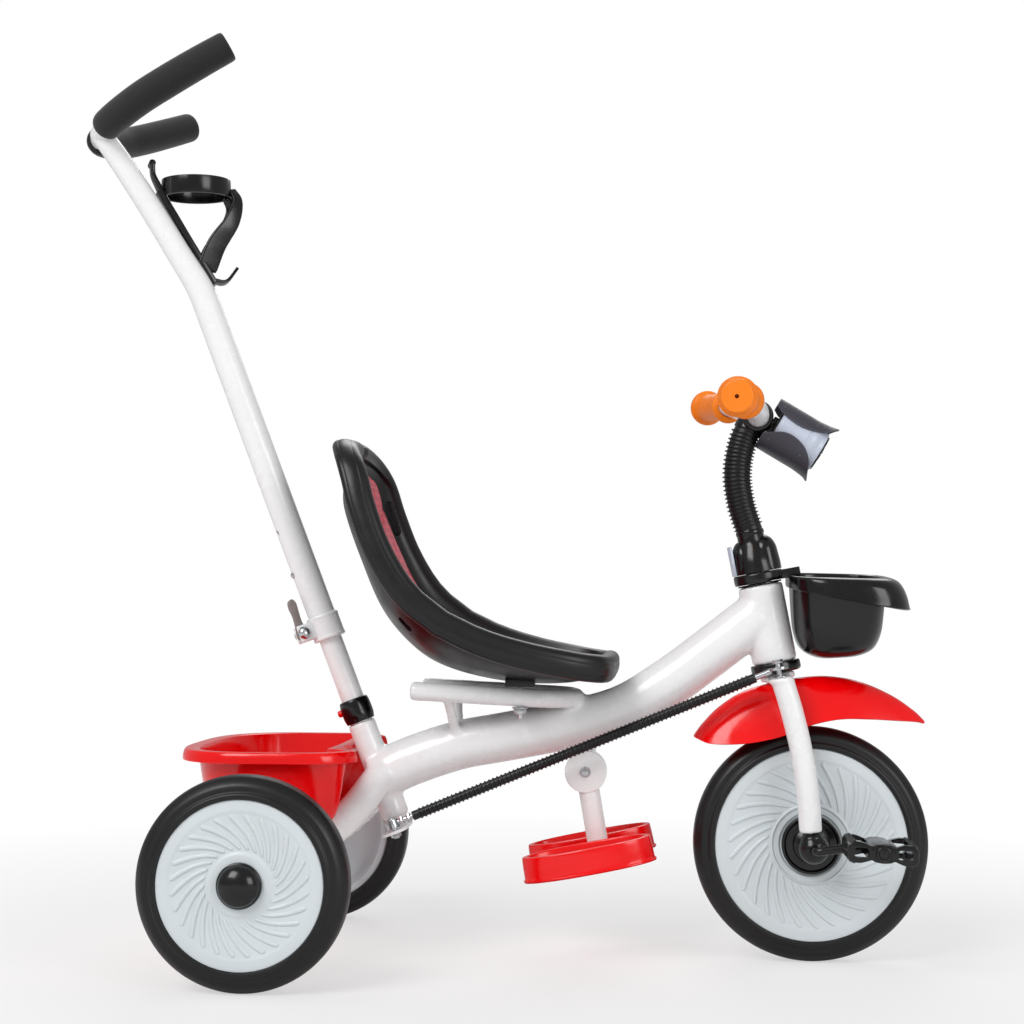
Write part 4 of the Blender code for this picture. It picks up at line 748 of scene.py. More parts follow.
def build_rear_wheels(sizes):
    half = TYRE_HALF
    rim = REAR_TYRE_R - TYRE_DEPTH + 0.0006
    bowl = [(0.0320, half - 0.0062), (0.0480, half - 0.0060), (0.0668, half - 0.0034)]
    profile = [
        (0.0195, half - 0.0048), (0.0285, half - 0.0048, 0.0012), (0.0310, half - 0.0062, 0.0016), bowl[1],
        (0.0662, half - 0.0034, 0.0010), (0.0690, half - 0.0024, 0.0012), (rim, half - 0.0024, 0.0008),
        (rim, 0.0040 - half, 0.0008), (0.0720, 0.0040 - half, 0.0010), (0.0640, half - 0.0130, 0.0040),
        (0.0240, half - 0.0130, 0.0020), (0.0220, -half - 0.0016, 0.0010), (0.0066, -half - 0.0016),
        (0.0066, half - 0.0125), (0.0195, half - 0.0125),
    ]
    for label, side in SIDES:
        body = f"rear_wheel_{label}_body"
        place = PLACES[f"rear_wheel_{label}"] @ outboard(side)
        tyre(f"rear_tyre_foam_{label}", body, REAR_AXLE_Z, REAR_TYRE_R - TYRE_DEPTH, place,
             f"rear_tyre_{label}")
        ribs = swirl_ribs(28, 0.0335, 0.0655, between(bowl), sizes.rib_height, sizes.rib_width, place)
        disc = gathered(spun(profile, WHEEL_ROUND, closed=True, matrix=place), *ribs)
        piece(f"rear_disc_{label}", disc, "disc", body, f"rear_wheel_{label}")
        dome = smooth_path([(0.0, half + 0.0118), (0.0060, half + 0.0113), (0.0120, half + 0.0094),
                            (0.0168, half + 0.0062), (0.0194, half + 0.0026), (0.0199, half + 0.0002)], 4)
        cap = dome + [(0.0203, half - 0.0003), (0.0213, half - 0.0006), (0.0215, half - 0.0014),
                      (0.0215, half - 0.0038), (0.0195, half - 0.0042), (0.0195, half - 0.0080),
                      (0.0, half - 0.0080)]
        piece(f"hub_dome_{label}", spun(cap, matrix=place), "black", body, f"hub_cap_{label}")


def build_front_wheel(sizes):
    half = TYRE_HALF
    rim = FRONT_TYRE_R - TYRE_DEPTH + 0.0006
    hub_r = 0.0298
    place = PLACES["front_wheel"] @ outboard(-1)
    tyre("front_tyre_foam", "front_wheel_body", FRONT_AXLE.z, FRONT_TYRE_R - TYRE_DEPTH, place,
         "front_tyre")
    bowl = [(0.0420, half - 0.0076), (0.0600, half - 0.0066), (0.0850, half - 0.0033)]
    face = [
        (0.0140, half - 0.0095), (0.0310, half - 0.0095), (0.0325, half - 0.0074, 0.0008),
        (0.0383, half - 0.0074, 0.0004), (0.0390, half - 0.0056, 0.0005), (0.0402, half - 0.0056, 0.0005),
        (0.0412, half - 0.0076, 0.0006), bowl[1], (0.0836, half - 0.0035, 0.0010),
        (0.0862, half - 0.0025, 0.0012), (rim, half - 0.0024, 0.0008),
    ]
    disc = [spun(face + mirrored(face), WHEEL_ROUND, closed=True, matrix=place)]
    for sign in (0.0, pi):
        disc += swirl_ribs(30, 0.0430, 0.0835, between(bowl), sizes.rib_height, sizes.rib_width,
                           place @ turn(sign, "X"))
    piece("front_disc", gathered(*disc), "disc", "front_wheel_body", "front_wheel")
    side = [
        (CRANK_R + GAP, half + 0.0070), (0.0108, half + 0.0070, 0.0010), (0.0122, half + 0.0020, 0.0016),
        (0.0182, half - 0.0010, 0.0008), (0.0186, half - 0.0036, 0.0006), (0.0262, half - 0.0040, 0.0008),
        (0.0270, half - 0.0012, 0.0006), (hub_r, half - 0.0016, 0.0008), (hub_r, half - 0.0094),
        (0.0137, half - 0.0094),
    ]
    piece("front_hub_spool", spun(side + mirrored(side), closed=True, matrix=place), "black",
          "front_wheel_body", "front_hub")
    reach = CRANK_HALF + 0.0715
    route = filleted([(CRANK_THROW, -reach, 0.0), (CRANK_THROW, -CRANK_HALF, 0.0), (0.0, -CRANK_HALF, 0.0),
                      (0.0, CRANK_HALF, 0.0), (-CRANK_THROW, CRANK_HALF, 0.0), (-CRANK_THROW, reach, 0.0)],
                     0.0065)
    crank = tube(route, CRANK_R, 24, matrix=PLACES["crank"], hint=(0.0, 0.0, 1.0), rounded=0.0008)
    piece("cranked_axle_rod", crank, "crank", "front_wheel_body", "crank_axle")


def pedal_outline():
    """A pedal's end plate: two rounded lobes, a waist on each side and a boss in the middle."""
    quarter = smooth_path([(0.0330, 0.0), (0.0325, 0.0062), (0.0290, 0.0094), (0.0215, 0.0098),
                           (0.0150, 0.0080), (0.0108, 0.0066), (0.0070, 0.0082), (0.0, 0.0090)], 4)
    upper = quarter + [(-x, z) for x, z in reversed(quarter[:-1])]
    return upper + [(x, -z) for x, z in reversed(upper[1:-1])]


def build_pedals(sizes):
    """Two moulded pedals: lobed ends with windows, toothed tread rails and a boss round the spindle."""
    width = 0.062
    bore = CRANK_R + 0.0004
    tooth = (0.0060, 0.0030, 0.0030)
    for label, side in SIDES:
        place = PLACES[f"pedal_{label}"] @ turn(PEDAL_TILT, "Y")
        body = plate(pedal_outline(), width, ACROSS, 0.0012)
        cutters = []
        for end in (-1, 1):
            shift = at(end * 0.0205, 0.0, 0.0)
            cutters.append(plate(slab(0.0078, 0.0235, 0.0030), 0.05, shift))
            cutters.append(plate(slab(0.0070, 0.0046, 0.0030), 0.1, shift @ ACROSS))
        cutters.append(rod(bore, -0.05, 0.05, ACROSS, sides=32))
        body = carved(body, *cutters)
        extras = [spun([(bore, 0.0330), (0.0068, 0.0330, 0.0008), (0.0076, 0.0316, 0.0004),
                        (0.0076, 0.0150), (bore, 0.0150)], 40, closed=True,
                       matrix=turn(-side * pi / 2, "X"))]
        for level in (-1, 1):
            for end in (-1, 1):
                lean = turn(end * level * 0.35, "Y")
                for k in range(9):
                    spot = at(end * 0.0285, -0.0264 + 0.0066 * k, level * 0.0088)
                    extras.append(block(tooth, spot @ lean, 0.0007))
        whole = gathered(body, *extras)
        bmesh.ops.transform(whole, matrix=place, verts=whole.verts)
        piece(f"moulded_pedal_{label}", whole, "black", f"pedal_{label}_body", f"pedal_{label}")


# Welded frame

def rail_height(x):
    """How high the middle of a seat rail is."""
    (rear, high), (front, low) = RAIL_REAR, RAIL_FRONT
    return high + (low - high) * (x - rear) / (front - rear)


def build_frame(sizes):
    world = PLACES["world"]
    steering = PLACES["steering"]
    parts = [tube(smooth_path(MAIN_LINE, 5), MAIN_TUBE_R, 48, matrix=world)]
    parts.append(rod(HEAD_TUBE_R, HEAD_TUBE_LOW, HEAD_TUBE_HIGH, steering, 0.0010))
    half = [(0.1120, 0.0, 0.1930), (0.0980, 0.020, 0.1800), (0.0780, 0.050, 0.1520),
            (0.0420, 0.095, 0.1200), (0.0, YOKE_HALF, REAR_AXLE_Z)]
    for _, side in SIDES:
        route = smooth_path([(x, side * y, z) for x, y, z in half], 6)
        parts.append(tube(route, YOKE_TUBE_R, 40, matrix=world))
    axle = world @ at(0.0, 0.0, REAR_AXLE_Z) @ ACROSS
    axle_half = YOKE_HALF + AXLE_TUBE_PAST_YOKE
    parts.append(rod(AXLE_TUBE_R, -axle_half, axle_half, axle, 0.0008))
    parts.append(rod(SOCKET_R, 0.0102, SOCKET_TOP, PLACES["rod_axis"], 0.0008))
    (rear, high), (front, low) = RAIL_REAR, RAIL_FRONT
    side = [(rear, RAIL_HALF, high), (0.200, RAIL_HALF, 0.2702), (front, RAIL_HALF, low)]
    for i in range(1, 9):
        angle = pi / 16 * i
        side.append((front + 0.040 * sin(angle), RAIL_HALF * cos(angle), low - 0.0015 * sin(angle)))
    loop = side + [(x, -y, z) for x, y, z in reversed(side[:-1])]
    parts.append(tube(smooth_path(loop, 2), RAIL_R, 32, matrix=world, hint=(0.0, 0.0, 1.0),
                      rounded=0.002))
    for _, side in SIDES:
        strut = [(0.1735, side * RAIL_HALF, 0.2700), (0.1795, side * 0.012, 0.2250)]
        parts.append(tube(strut, 0.0055, 24, matrix=world, hint=(1.0, 0.0, 0.0)))
    weldment = fused(gathered(*parts), 0.0017, 24)
    weldment = carved(weldment,
                      rod(HEAD_TUBE_BORE_R, HEAD_TUBE_LOW - 0.02, HEAD_TUBE_HIGH + 0.02, steering),
                      rod(0.0125, -0.02, SOCKET_TOP + 0.03, PLACES["rod_axis"]),
                      rod(0.0063, -0.3, 0.3, axle, sides=32))
    piece("welded_frame", weldment, "paint", "frame_body", "frame", smooth=50)
    reach = REAR_HALF_TRACK + TYRE_HALF - 0.0085
    piece("rear_axle_rod", rod(REAR_AXLE_R, -reach, reach, axle, 0.0008, 32), "zinc", "frame_body",
          "rear_axle")
    bore = STEERER_R + 0.0004
    low = HEAD_TUBE_LOW
    lower = [(0.0192, low + 0.013), (0.0192, low - GAP), (0.0252, low - GAP, 0.0008),
             (0.0255, low - 0.0045, 0.0006), (0.0255, low - 0.0085, 0.0012),
             (0.0235, low - 0.0105, 0.0008), (bore, low - 0.0105), (bore, low + 0.013)]
    top = HEAD_TUBE_HIGH
    upper = [(0.0225, top + 0.0020, 0.0006), (0.0225, top + GAP), (0.0192, top + GAP),
             (0.0192, top - 0.013), (bore, top - 0.013), (bore, top + 0.0020)]
    piece("lower_head_cup", spun(lower, closed=True, matrix=steering), "black", "frame_body",
          "head_bush_lower")
    piece("upper_head_cup", spun(upper, closed=True, matrix=steering), "black", "frame_body",
          "head_bush_upper")
    bulge = smooth_path([(0.0132, SOCKET_TOP + 0.0250), (0.0150, SOCKET_TOP + 0.0238),
                         (0.0160, SOCKET_TOP + 0.0190), (COLLAR_R - 0.0003, SOCKET_TOP + 0.0130),
                         (0.0161, SOCKET_TOP + 0.0070), (0.0152, SOCKET_TOP + 0.0022),
                         (0.0146, SOCKET_TOP + GAP)], 4)
    collar = bulge + [(0.0124, SOCKET_TOP + GAP), (0.0124, SOCKET_TOP + 0.0250)]
    piece("push_rod_collar", spun(collar, closed=True, matrix=PLACES["rod_axis"]), "black", "frame_body",
          "socket_collar")
    spot = PLACES["rod_axis"] @ at(-COLLAR_R, 0.0, COLLAR_BUTTON_HEIGHT) @ turn(-pi / 2, "Y")
    button = [(0.0, 0.0040), (0.0022, 0.0038, 0.0008), (0.0035, 0.0028, 0.0008), (0.0037, -0.0010),
              (0.0, -0.0010)]
    piece("collar_push_button", spun(button, 32, matrix=spot), "red", "collar_button_body",
          "collar_button")
    for label, side in SIDES:
        seat = rail_height(SEAT_BOLT_X) - RAIL_R - GAP
        spot = world @ at(SEAT_BOLT_X, side * RAIL_HALF, 0.0)
        bolt = gathered(rod(0.0030, seat - 0.0118, seat + 0.020, spot, 0.0004, 24),
                        hexagon(0.0066, seat - 0.0066, seat - 0.0014, spot),
                        rod(0.0082, seat - 0.0014, seat, spot, 0.0004, 32))
        piece(f"seat_bolt_and_nut_{label}", bolt, "zinc", "frame_body", f"seat_bolt_{label}")


# Seat

SEAT_STATIONS = [
    # back or bottom line x, z; rim x, z; half width before the corners are rounded
    (0.0690, 0.5180, 0.0760, 0.5180, 0.108), (0.0645, 0.5060, 0.0850, 0.5060, 0.109),
    (0.0620, 0.4880, 0.0940, 0.4900, 0.110), (0.0620, 0.4600, 0.1035, 0.4590, 0.112),
    (0.0800, 0.4080, 0.1200, 0.4180, 0.115), (0.1040, 0.3540, 0.1450, 0.3790, 0.117),
    (0.1370, 0.3160, 0.1800, 0.3500, 0.119), (0.1720, 0.2960, 0.2200, 0.3320, 0.120),
    (0.2230, 0.2835, 0.2620, 0.3200, 0.117), (0.2730, 0.2800, 0.3000, 0.3125, 0.112),
    (0.3120, 0.2840, 0.3215, 0.3090, 0.106), (0.3280, 0.2960, 0.3310, 0.3080, 0.100),
    (0.3345, 0.3090, 0.3350, 0.3095, 0.096),
]
SEAT_CORNER = 0.62
# Past this share the rim meets the back line, so the band keeps the direction that it has here
SEAT_ENDS = 0.86
SEAT_LIP = [(0.0, 0.0), (0.0028, -0.0012), (0.0062, -0.0012), (0.0088, 0.0006), (0.0100, 0.0032),
            (0.0098, 0.0040), (0.0103, 0.0050), (0.0112, 0.0085), (0.0113, 0.0125), (0.0107, 0.0150),
            (0.0100, 0.0156), (0.0103, 0.0166), (0.0097, 0.0182), (0.0080, 0.0188)]


def seat_face(share, reach, angle, inset=0.0):
    """A point of the bucket's outer face, a share of the way from its middle to its rim."""
    ahead = share * signed_power(cos(angle), SEAT_CORNER)
    limit = max(1 - abs(ahead) ** (2 / SEAT_CORNER), 0.0) ** (SEAT_CORNER / 2)
    across = reach * share * signed_power(sin(angle), SEAT_CORNER)
    base_x, base_z, rim_x, rim_z, half = sample(SEAT_STATIONS, (ahead + 1) / 2)
    depth = Vector((rim_x - base_x, 0.0, rim_z - base_z))
    tilt = pi / 2 * max(min(across / max(limit, 0.0001), 1.0), -1.0)
    point = Vector((base_x, 0.0, base_z)) + depth * (1 - cos(tilt)) + depth.normalized() * inset
    point.y = (half * limit - inset) * sin(tilt) if half * limit > inset else 0.0
    return point


def seat_lip(past, angle):
    """The rounded band that turns outwards and down all the way round the rim."""
    crest = seat_face(1.0, 1.0, angle)
    ahead = max(min(signed_power(cos(angle), SEAT_CORNER), SEAT_ENDS), -SEAT_ENDS)
    base_x, base_z, rim_x, rim_z, _ = sample(SEAT_STATIONS, (ahead + 1) / 2)
    tangent = (seat_face(1.0, 1.0, angle + 0.03) - seat_face(1.0, 1.0, angle - 0.03)).normalized()
    outward = tangent.cross(Vector((rim_x - base_x, 0.0, rim_z - base_z))).normalized()
    upright = outward.cross(tangent)
    out, down = sample(SEAT_LIP, past)
    return crest + outward * out - upright * down


def seat_hole(centre, towards, along, length, width):
    """A cutter for an oval slot through the shell: where, which way it goes in and which way it runs."""
    out = Vector(towards).normalized()
    across = out.cross(Vector(along)).normalized()
    ahead = across.cross(out)
    matrix = Matrix.Translation(centre) @ Matrix((ahead, across, out)).transposed().to_4x4()
    outline = slab(length / 2, width / 2, width / 2 - 0.0002)
    return plate(outline, 0.05, PLACES["world"] @ matrix)


def build_seat(sizes):
    """The shell in two walled sheets, bowl and rim band, so that slots can be cut in the bowl."""
    meet = 0.975
    start = 0.12
    overlap = 0.02

    def bowl_form(u, v):
        return seat_face(meet * sin(pi / 2 * u), 1.0, 2 * pi * v)

    def band_form(u, v):
        angle = 2 * pi * v
        if u < start:
            return seat_face(meet - overlap + (1 + overlap - meet) * u / start, 1.0, angle, -0.0002)
        return seat_lip((u - start) / (1 - start), angle)

    def skinned(form, rows, wall, inside):
        """A walled sheet whose wall grows from its outer face towards a point above the bowl."""
        sheet = settled(shaped(form, rows, 200, PLACES["world"]))
        above = PLACES["world"] @ Vector((0.2400, 0.0, 0.4600))
        probe = min(sheet.faces, key=lambda face: (face.calc_center_median() - inside).length)
        if probe.normal.dot(above - probe.calc_center_median()) > 0:
            bmesh.ops.reverse_faces(sheet, faces=sheet.faces)
        return walled(sheet, wall, even=False)

    shell = skinned(bowl_form, 64, SEAT_WALL, PLACES["world"] @ Vector((0.1040, 0.0, 0.3540)))
    band = skinned(band_form, 40, SEAT_WALL + 0.0004, PLACES["world"] @ seat_face(meet, 1.0, pi / 2))
    holes = []
    for side in (-1, 1):
        holes.append(seat_hole((0.0930, side * 0.1080, 0.4560), (0.35, -side * 1.0, 0.1),
                               (0.36, 0.0, -1.0), 0.040, 0.0095))
        holes.append(seat_hole((0.1320, side * 0.0900, 0.3380), (-0.75, side * 0.6, -0.75),
                               (0.7, 0.0, -0.8), 0.019, 0.0105))
    shell = carved(shell, *holes)
    pads = []
    for side in (-1, 1):
        top = 0.2868
        low = rail_height(SEAT_BOLT_X - 0.015) + RAIL_R + GAP
        spot = PLACES["world"] @ at(SEAT_BOLT_X, side * RAIL_HALF, (top + low) / 2)
        pads.append(block((0.030, 0.013, top - low), spot, 0.0015))
    piece("bucket_seat", gathered(shell, band, *pads), "seat", "frame_body", "seat_shell")


def build_cushion(sizes):
    """A puffy liner: crowned between its seams, pulled in at its piped edge, sewn across in channels."""
    lift = SEAT_WALL + 0.0004
    extent = 0.80
    under_share = 0.3

    def form(u, v):
        """From the middle of the underside out to the piped edge and back over the crown."""
        angle = 2 * pi * v
        if u < under_share:
            return seat_face(extent * u / under_share, extent, angle, lift)
        share = (1 - u) / (1 - under_share)
        along = extent * share * cos(angle)
        crown = max(1 - share ** 3.2, 0.0) ** 0.62
        channel = 1 - 0.20 * max(0.0, cos(2 * pi * (along + 1) * 3.5)) ** 8
        piping = 0.0022 * max(0.0, 1 - abs(share - 0.965) / 0.035) ** 0.5
        dimple = 0.0010 * sin(23 * along) * sin(9 * angle) * crown
        height = sizes.pad_thickness * crown * channel + piping + dimple
        return seat_face(extent * share, extent, angle, lift + height)

    pad = settled(shaped(form, 110, 120, PLACES["world"]))
    obj = piece("seat_liner", pad, "pad", "frame_body", "seat_cushion", smooth=80)
    weave = obj.data.attributes.new("weave", "FLOAT_VECTOR", "POINT")
    back = PLACES["world"].inverted()
    for vert, item in zip(obj.data.vertices, weave.data):
        point = back @ vert.co
        item.vector = (seat_arc(point), point.y, 0.0)


def seat_arc(point):
    """How far a point lies along the seat's bent middle line, from the top of its back."""
    best = (1.0, 0.0)
    travelled = 0.0
    line = [(s[0], s[1]) for s in SEAT_STATIONS]
    for (x0, z0), (x1, z1) in zip(line, line[1:]):
        dx, dz = x1 - x0, z1 - z0
        length = sqrt(dx * dx + dz * dz)
        share = min(max(((point.x - x0) * dx + (point.z - z0) * dz) / length ** 2, 0.0), 1.0)
        gap = sqrt((point.x - x0 - dx * share) ** 2 + (point.z - z0 - dz * share) ** 2)
        best = min(best, (gap, travelled + share * length))
        travelled += length
    return best[1]


# Baskets and fender

def ring_point(x_back, x_front, half, z_back, z_front, angle, power):
    """A point on a rounded rectangle that can lean from back to front."""
    x = (x_back + x_front) / 2 + (x_front - x_back) / 2 * signed_power(cos(angle), power)
    y = half * signed_power(sin(angle), power)
    blend = (x - x_back) / (x_front - x_back) if x_front > x_back else 0.5
    return Vector((x, y, z_back + (z_front - z_back) * blend))


NOTCH_HALF = 0.078
NOTCH_EASE = 0.026


def rear_ring(x_back, x_front, x_notch, half, z, angle):
    """A basket outline: round behind, square in front, drawn back in the middle round the socket."""
    c = cos(angle)
    y = half * signed_power(sin(angle), 0.6)
    middle = (x_back + x_front) / 2
    if c < 0:
        return Vector((middle - (middle - x_back) * abs(c) ** 0.75, y, z))
    blend = min(max((abs(y) - NOTCH_HALF) / NOTCH_EASE, 0.0), 1.0)
    blend = blend * blend * (3 - 2 * blend)
    front = x_notch + (x_front - x_notch) * blend
    return Vector((middle + (front - middle) * c ** 0.45, y, z))


def build_baskets(sizes):
    rings = [
        # back x, front x, half width, height at the back, height at the front
        (0.0010, 0.1226, 0.0764, -0.0130, -0.0340), (0.0002, 0.1218, 0.0760, -0.0118, -0.0318),
        (0.0000, 0.1196, 0.0750, -0.0060, -0.0220), (0.0000, 0.1160, 0.0736, -0.0016, -0.0130),
        (0.0006, 0.1110, 0.0712, 0.0000, -0.0062), (0.0020, 0.1040, 0.0672, 0.0002, -0.0026),
        (0.0038, 0.0984, 0.0642, -0.0004, -0.0024), (0.0052, 0.0966, 0.0626, -0.0060, -0.0075),
        (0.0072, 0.0940, 0.0600, -0.0400, -0.0400), (0.0095, 0.0912, 0.0572, -0.0600, -0.0590),
        (0.0150, 0.0846, 0.0505, -0.0745, -0.0722), (0.0270, 0.0720, 0.0380, -0.0812, -0.0788),
        (0.0400, 0.0600, 0.0200, -0.0824, -0.0800), (0.0500, 0.0500, 0.0000, -0.0825, -0.0800),
    ]

    def front_form(u, v):
        return ring_point(*sample(rings, u), 2 * pi * v, 0.62)

    tub = walled(settled(shaped(front_form, 78, 96, PLACES["basket"])), 0.0022)
    piece("front_basket_tub", tub, "black", "steering_body", "front_basket")

    rear = [
        # back x, front x, x where the socket's notch ends, half width, height
        (-0.0965, 0.0995, 0.0690, 0.1424, 0.2060), (-0.0966, 0.0996, 0.0690, 0.1425, 0.2072),
        (-0.0960, 0.0990, 0.0684, 0.1420, 0.2120), (-0.0945, 0.0975, 0.0672, 0.1408, 0.2158),
        (-0.0925, 0.0955, 0.0652, 0.1390, 0.2170), (-0.0880, 0.0918, 0.0615, 0.1346, 0.2170),
        (-0.0815, 0.0894, 0.0588, 0.1312, 0.2163), (-0.0790, 0.0884, 0.0572, 0.1300, 0.2120),
        (-0.0740, 0.0851, 0.0465, 0.1252, 0.1800), (-0.0690, 0.0815, 0.0370, 0.1200, 0.1560),
        (-0.0610, 0.0720, 0.0320, 0.1140, 0.1455), (-0.0520, 0.0400, 0.0240, 0.1030, 0.1408),
        (-0.0350, 0.0100, 0.0050, 0.0500, 0.1400), (-0.0150, -0.0150, -0.0150, 0.0000, 0.1400),
    ]

    def rear_form(u, v):
        return rear_ring(*sample(rear, u), 2 * pi * v)

    tub = walled(settled(shaped(rear_form, 78, 144, PLACES["world"])), 0.0024)
    feet = [block((0.016, 0.020, 0.0270), PLACES["world"] @ at(-0.001, side * 0.050, 0.1275), 0.0012)
            for side in (-1, 1)]
    piece("rear_basket_tub", gathered(tub, *feet), "red", "frame_body", "rear_basket")


def build_fender(sizes):
    stations = [
        # forwards of the steering axis, spine height, edge height, half width
        (-0.0960, 0.1282, 0.1268, 0.0050), (-0.0930, 0.1315, 0.1250, 0.0130),
        (-0.0840, 0.1395, 0.1200, 0.0240), (-0.0660, 0.1520, 0.1160, 0.0310),
        (-0.0400, 0.1630, 0.1130, 0.0330),
        (-0.0100, 0.1672, 0.1140, 0.0330), (0.0230, 0.1674, 0.1200, 0.0325),
        (0.0530, 0.1630, 0.1205, 0.0310), (0.0820, 0.1520, 0.1150, 0.0270),
        (0.1100, 0.1330, 0.1080, 0.0190), (0.1290, 0.1140, 0.1030, 0.0100),
        (0.1375, 0.1020, 0.0995, 0.0030),
    ]

    def form(u, v):
        forward, spine, edge, half = sample(stations, u)
        across = 2 * v - 1
        return Vector((forward, half * across, spine - (spine - edge) * abs(across) ** 2.2))

    guard = shaped(form, 80, 40, PLACES["steering"])
    bmesh.ops.recalc_face_normals(guard, faces=guard.faces)
    piece("mudguard", walled(guard, 0.0022), "red", "steering_body", "fender")


# Fork, stem, handlebar and lamp

def build_fork(sizes):
    steering = PLACES["steering"]
    parts = [rod(STEERER_R, 0.168, 0.318, steering, 0.0008),
             rod(0.018, 0.169, 0.1758, steering, 0.0012),
             plate(slab(0.0125, 0.0590, 0.0125), 0.005, steering @ at(0.0, 0.0, 0.1705), 0.0012)]
    for _, side in SIDES:
        route = smooth_path([(0.001, side * FORK_HALF, 0.1712), (0.0045, side * FORK_HALF, 0.1365),
                             (0.0062, side * FORK_HALF, 0.0937), (0.0040, side * FORK_HALF, 0.0500),
                             (0.0, side * FORK_HALF, 0.0165)], 6)
        parts.append(tube(route, FORK_TUBE_R, 40, matrix=steering, rounded=0.0006))
    fork = fused(gathered(*parts), 0.0013, 16)
    fork = carved(fork, *[rod(0.0086, 0.0, 0.034, steering @ at(0.0, side * FORK_HALF, 0.0))
                          for _, side in SIDES])
    piece("fork_and_steerer", fork, "paint", "steering_body", "fork", smooth=50)
    arm = steering @ at(0.0, -LINK_ARM, 0.0)
    bracket = gathered(plate(slab(0.0060, 0.0130, 0.005), 0.0012,
                             steering @ at(0.0, -LINK_ARM - 0.002, 0.1739), 0.0003),
                       rod(0.0025, 0.1743, 0.1899, arm, 0.0003, 24),
                       hexagon(0.0055, 0.1869, 0.1909, arm))
    piece("link_bolt_plate", bracket, "zinc", "steering_body", "link_bracket")
    for label, side in SIDES:
        spot = steering @ at(0.0, side * FORK_HALF, 0.0)
        radius = 0.0155
        ball = [(0.0, 0.0150), (0.0085, 0.0150, 0.0006), (0.0112, 0.0128, 0.0016)]
        for i in range(12):
            angle = 0.72 - (0.72 + pi / 2) * i / 12
            ball.append((radius * cos(angle), radius * sin(angle)))
        ball.append((0.0, -radius))
        knob = gathered(spun(ball, matrix=spot), rod(0.0082, 0.0080, 0.0300, spot, 0.0008, 32))
        knob = carved(knob, rod(CRANK_R + 0.0006, -0.05, 0.05, spot @ ACROSS, sides=32))
        piece(f"axle_knob_{label}", knob, "black", "steering_body", f"axle_block_{label}")


def stem_route():
    points = [(0.0, 0.0, 0.3262), (-0.0022, 0.0, 0.3400), (-0.0035, 0.0, 0.3560),
              (-0.0025, 0.0, 0.3786), (0.0028, 0.0, 0.4000), (0.0125, 0.0, 0.4205),
              (0.0240, 0.0, 0.4355)]
    return smooth_path(points, 8)


def spaced(points, distances):
    """Points at the given distances along a path."""
    points = [Vector(point) for point in points]
    lengths = [0.0]
    for a, b in zip(points, points[1:]):
        lengths.append(lengths[-1] + (b - a).length)
    found = []
    for distance in distances:
        i = 1
        while i < len(lengths) - 1 and lengths[i] < distance:
            i += 1
        share = (distance - lengths[i - 1]) / (lengths[i] - lengths[i - 1])
        found.append(points[i - 1].lerp(points[i], share))
    return found


def corrugated(points, length, end, ribs, root, crest, matrix, sides):
    """A hose with sharp thin ribs and a plain cuff at each end."""
    pitch = (length - 2 * end) / ribs
    marks = [(0.0, root * 1.02), (end * 0.92, root * 1.02)]
    for i in range(ribs):
        start = end + pitch * i
        marks += [(start + pitch * share, root + (crest - root) * rise)
                  for share, rise in ((0.06, 0.0), (0.30, 0.12), (0.44, 1.0), (0.62, 1.0), (0.76, 0.12))]
    marks += [(length - end * 0.92, root * 1.02), (length, root * 1.02)]
    path = spaced(points, [mark for mark, _ in marks])
    return tube(path, 1.0, sides, [radius for _, radius in marks], matrix)


